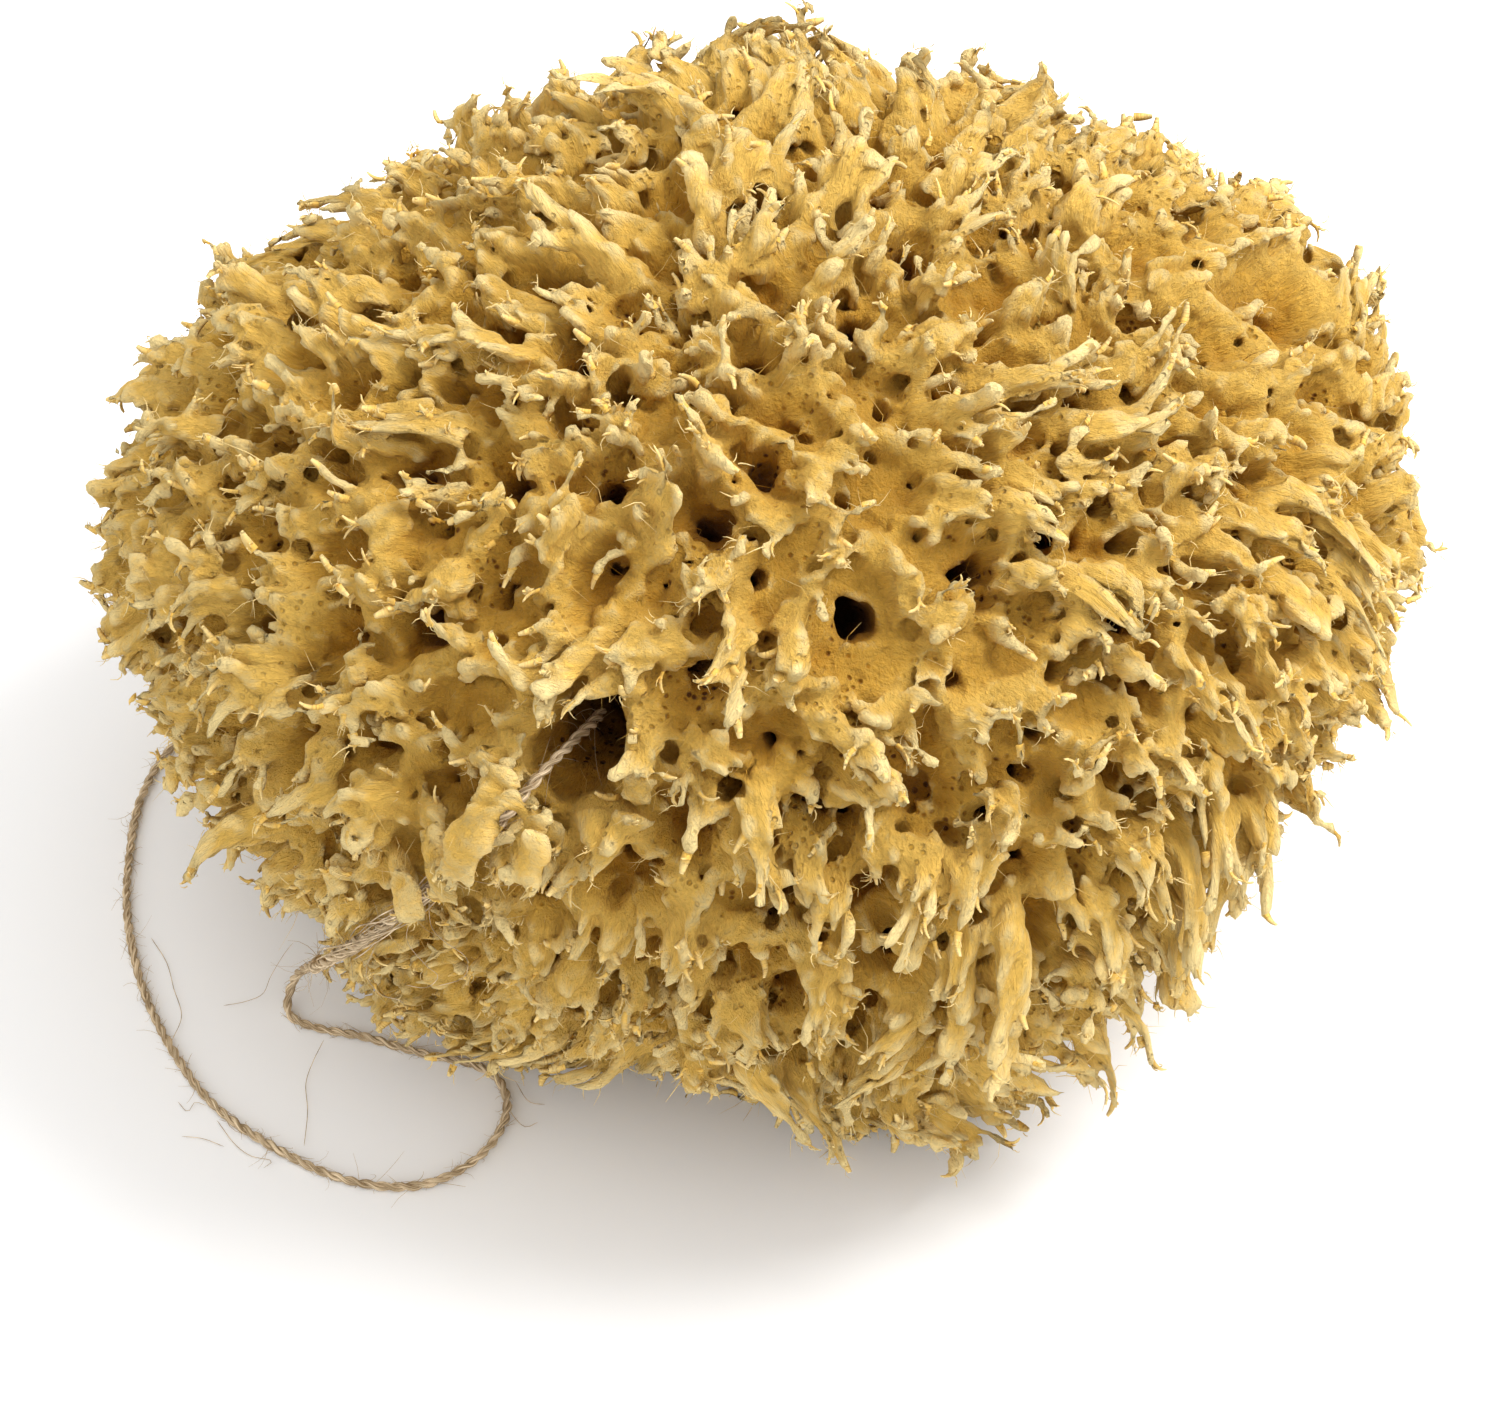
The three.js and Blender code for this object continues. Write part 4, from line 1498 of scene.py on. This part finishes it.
# %% Hairs on the twine
TWINE_HAIRS = 1000
HAIR_CLEARANCE = 0.0004
pick = rng.integers(4, len(twine_line) - 4, TWINE_HAIRS)
turn = rng.uniform(0, 2 * np.pi, TWINE_HAIRS)
aside = twine_side[pick] * np.cos(turn)[:, None] + twine_up[pick] * np.sin(turn)[:, None]
hair_root = twine_line[pick] + aside * 0.0006
hair_way = aside * 0.5 + twine_way[pick] * rng.choice([-1, 1], TWINE_HAIRS)[:, None]
hair_way = unit(hair_way + rng.normal(0, 0.2, (TWINE_HAIRS, 3)))
hair_length = rng.gamma(1.3, 0.0011, TWINE_HAIRS) * (1 + frayed[pick]) + 0.0005
hair_end = hair_root[:, 2] + hair_way[:, 2] * hair_length
low = hair_end < HAIR_CLEARANCE
hair_way[low, 2] = np.abs(hair_way[low, 2])
points = strand_points(
    "twine_hair_points", root=hair_root, way=hair_way, bend=unit(rng.normal(0, 1, (TWINE_HAIRS, 3))),
    hook=rng.normal(0, 0.2, (TWINE_HAIRS, 3)), curl=rng.uniform(0.3, 2.6, TWINE_HAIRS), length=hair_length,
    girth=rng.uniform(0.00003, 0.00006, TWINE_HAIRS), edge=np.full(TWINE_HAIRS, PALE_EDGE))
twine_fibres = run_tree("twine_fibres", points, strands, Steps=4, Sides=3, Taper=0.6, Flatness=0.0,
                        Material=jute)

# %% Loose yarns
LOOSE_YARNS = 16
LOOSE_FROM_TO = [0.033, 0.088]
YARN_RADIUS = 0.00013
first, last = np.searchsorted(run, LOOSE_FROM_TO)
loose_run = run[first:last]
threads = []
for yarn in range(LOOSE_YARNS):
    begin = rng.integers(0, 25)
    end = len(loose_run) - rng.integers(0, 25)
    wave = rng.uniform(0.006, 0.014)
    turn = rng.uniform(0, 2 * np.pi) + loose_run / wave
    spread = rng.uniform(0.0006, 0.0017) * (1 + 0.3 * np.sin(loose_run / 0.005 + yarn))
    spin = twine_side[first:last] * np.cos(turn)[:, None] + twine_up[first:last] * np.sin(turn)[:, None]
    trail = twine_line[first:last] + spin * spread[:, None]
    threads.append((trail[begin:end:2], YARN_RADIUS))
print("loose yarns:", len(threads))

# %% Stray hairs
HAIR_RADIUS = 0.00006
HAIR_STEP = 0.0008
STRAY_HAIRS = [
    [(-78.5, -31.5, 6), (-80.1, -32.2, 4), (-82.4, -35.8, 2), (-83.5, -38.6, 1), (-86.2, -39.9, 0.6),
     (-90, -40.7, 0.4)],
    [(-72.3, -48.5, 1.2), (-73.8, -52.6, 0.6), (-74.6, -56.7, 0.4), (-73.8, -62.7, 0.4),
     (-73.7, -69.7, 0.6)],
    [(-104, -26.1, 0.5), (-100.7, -31.5, 0.4), (-98.9, -36.9, 0.4), (-96.8, -43.2, 0.6),
     (-97.8, -48.5, 0.8)],
    [(-95.4, -60.7, 0.4), (-93.5, -62.7, 0.4), (-92.5, -60.9, 0.5), (-90.5, -61.7, 0.6)],
    [(-88.5, -64.7, 0.8), (-84.7, -69.7, 0.5), (-82.1, -71.6, 0.4), (-78.7, -72.6, 0.4),
     (-79.9, -74, 0.5)],
    [(-93.9, -67.7, 0.4), (-90.6, -68.1, 0.4), (-86.8, -69.7, 0.4)],
    [(-39.9, -56.7, 0.9), (-37.3, -60.7, 0.5), (-34.8, -61.1, 0.4)],
    [(-41.3, -61.7, 0.9), (-37.8, -65.7, 0.5), (-35.8, -64.7, 0.4)],
    [(-48, -75.6, 73), (-47.9, -77, 66), (-46, -79.5, 66), (-43.1, -78, 60), (-44.1, -77, 54),
     (-48.1, -77, 52)],
    [(-50, -76.6, 70), (-51.5, -79, 66), (-49, -80, 61), (-47.5, -79, 57), (-49.5, -78, 53),
     (-53, -76, 51)],
    [(-57, -75, 59), (-58.5, -77, 55), (-56.5, -78.5, 52), (-54, -78, 50), (-53.5, -76.5, 47)],
]
for hair in STRAY_HAIRS:
    threads.append((smooth_line(np.array(hair) * MM, HAIR_STEP), HAIR_RADIUS))
print("threads with the stray hairs:", len(threads))

# %% One mesh of all loose threads
THREAD_SIDES = 4
STREAK_SPREAD = 900
tubes = []
for trail, radius in threads:
    thickness = np.full(len(trail), radius)
    thickness[[0, -1]] *= 0.3
    tubes.append(tube(trail, thickness, THREAD_SIDES))
yarn_mesh = join_tubes("twine_yarn", tubes)
total = len(yarn_mesh.vertices)
write_number(yarn_mesh, "run", np.linspace(0, STREAK_SPREAD, total))
write_number(yarn_mesh, "around", np.zeros(total))
yarn_mesh.materials.append(jute)
twine_yarn = add_object("twine_yarn", yarn_mesh)
print("yarn faces:", len(yarn_mesh.polygons))

# %% [markdown]
# ## What every piece is
# Each piece is tied to the model here: it rides on the model's body, and the model's part that it stands in
# for is hidden. A few plies and hairs dip a fraction of a millimetre into the floor, so all points below it
# are first lifted up to it.

# %% Press everything up to the floor
sponge_parts = [*sponge_pieces, *sponge_fingers, sponge_fringe, sponge_fuzz]
twine_parts = [twine, twine_fibres, twine_yarn]
lifted = 0
for piece in sponge_parts + twine_parts:
    points = read_points(piece.data)
    lifted += int((points[:, 2] < 0).sum())
    points[:, 2] = np.maximum(points[:, 2], 0)
    piece.data.vertices.foreach_set("co", points.ravel())
    piece.data.update()
print("points lifted to the floor:", lifted)

# %% Tie the pieces to the model
for piece in sponge_parts:
    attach(piece, "root")
    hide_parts("sponge")
for piece in twine_parts:
    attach(piece, "root")
    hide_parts("twine")
print("sponge pieces:", len(sponge_parts), "twine pieces:", len(twine_parts))

# %% [markdown]
# ## Floor and light
# A plain matt floor and an evenly white surrounding give a pale ground without reflections. One large soft
# lamp, high up at the right, gives the holes their depth and throws a gentle shadow to the left.

# %% Floor
FLOOR = 6.0
FLOOR_WHITE = 0.92
floor_mesh = bpy.data.meshes.new("floor")
floor_mesh.from_pydata([(-FLOOR, -FLOOR, 0), (FLOOR, -FLOOR, 0), (FLOOR, FLOOR, 0), (-FLOOR, FLOOR, 0)], [],
                       [(0, 1, 2, 3)])
floor = bpy.data.objects.new("floor", floor_mesh)
scene.collection.objects.link(floor)
floor_paint, start, shader = new_material("floor_paint")
shader.inputs["Base Color"].default_value = (FLOOR_WHITE, FLOOR_WHITE, FLOOR_WHITE, 1)
shader.inputs["Roughness"].default_value = 0.9
shader.inputs["Specular IOR Level"].default_value = 0.1
floor_mesh.materials.append(floor_paint)
print("floor, m:", 2 * FLOOR)

# %% Light
ROOM_LIGHT = 1.2
LAMP_WIDTH = 0.5
LAMP_WATTS = 8.5
LAMP_PLACE = Vector((0.50, 0.12, 0.80))
LAMP_AIM = Vector((0, 0, 0.05))
world = bpy.data.worlds.new("studio")
scene.world = world
world.use_nodes = True
world.node_tree.nodes["Background"].inputs["Color"].default_value = (1, 1, 1, 1)
world.node_tree.nodes["Background"].inputs["Strength"].default_value = ROOM_LIGHT
lamp_data = bpy.data.lights.new("key", "AREA")
lamp_data.shape = "DISK"
lamp_data.size = LAMP_WIDTH
lamp_data.energy = LAMP_WATTS
lamp = bpy.data.objects.new("key", lamp_data)
lamp.location = LAMP_PLACE
lamp.rotation_euler = (LAMP_PLACE - LAMP_AIM).to_track_quat("Z", "Y").to_euler()
scene.collection.objects.link(lamp)
scene.view_settings.view_transform = "Standard"
print("lamp distance, m:", round((LAMP_PLACE - LAMP_AIM).length, 2))
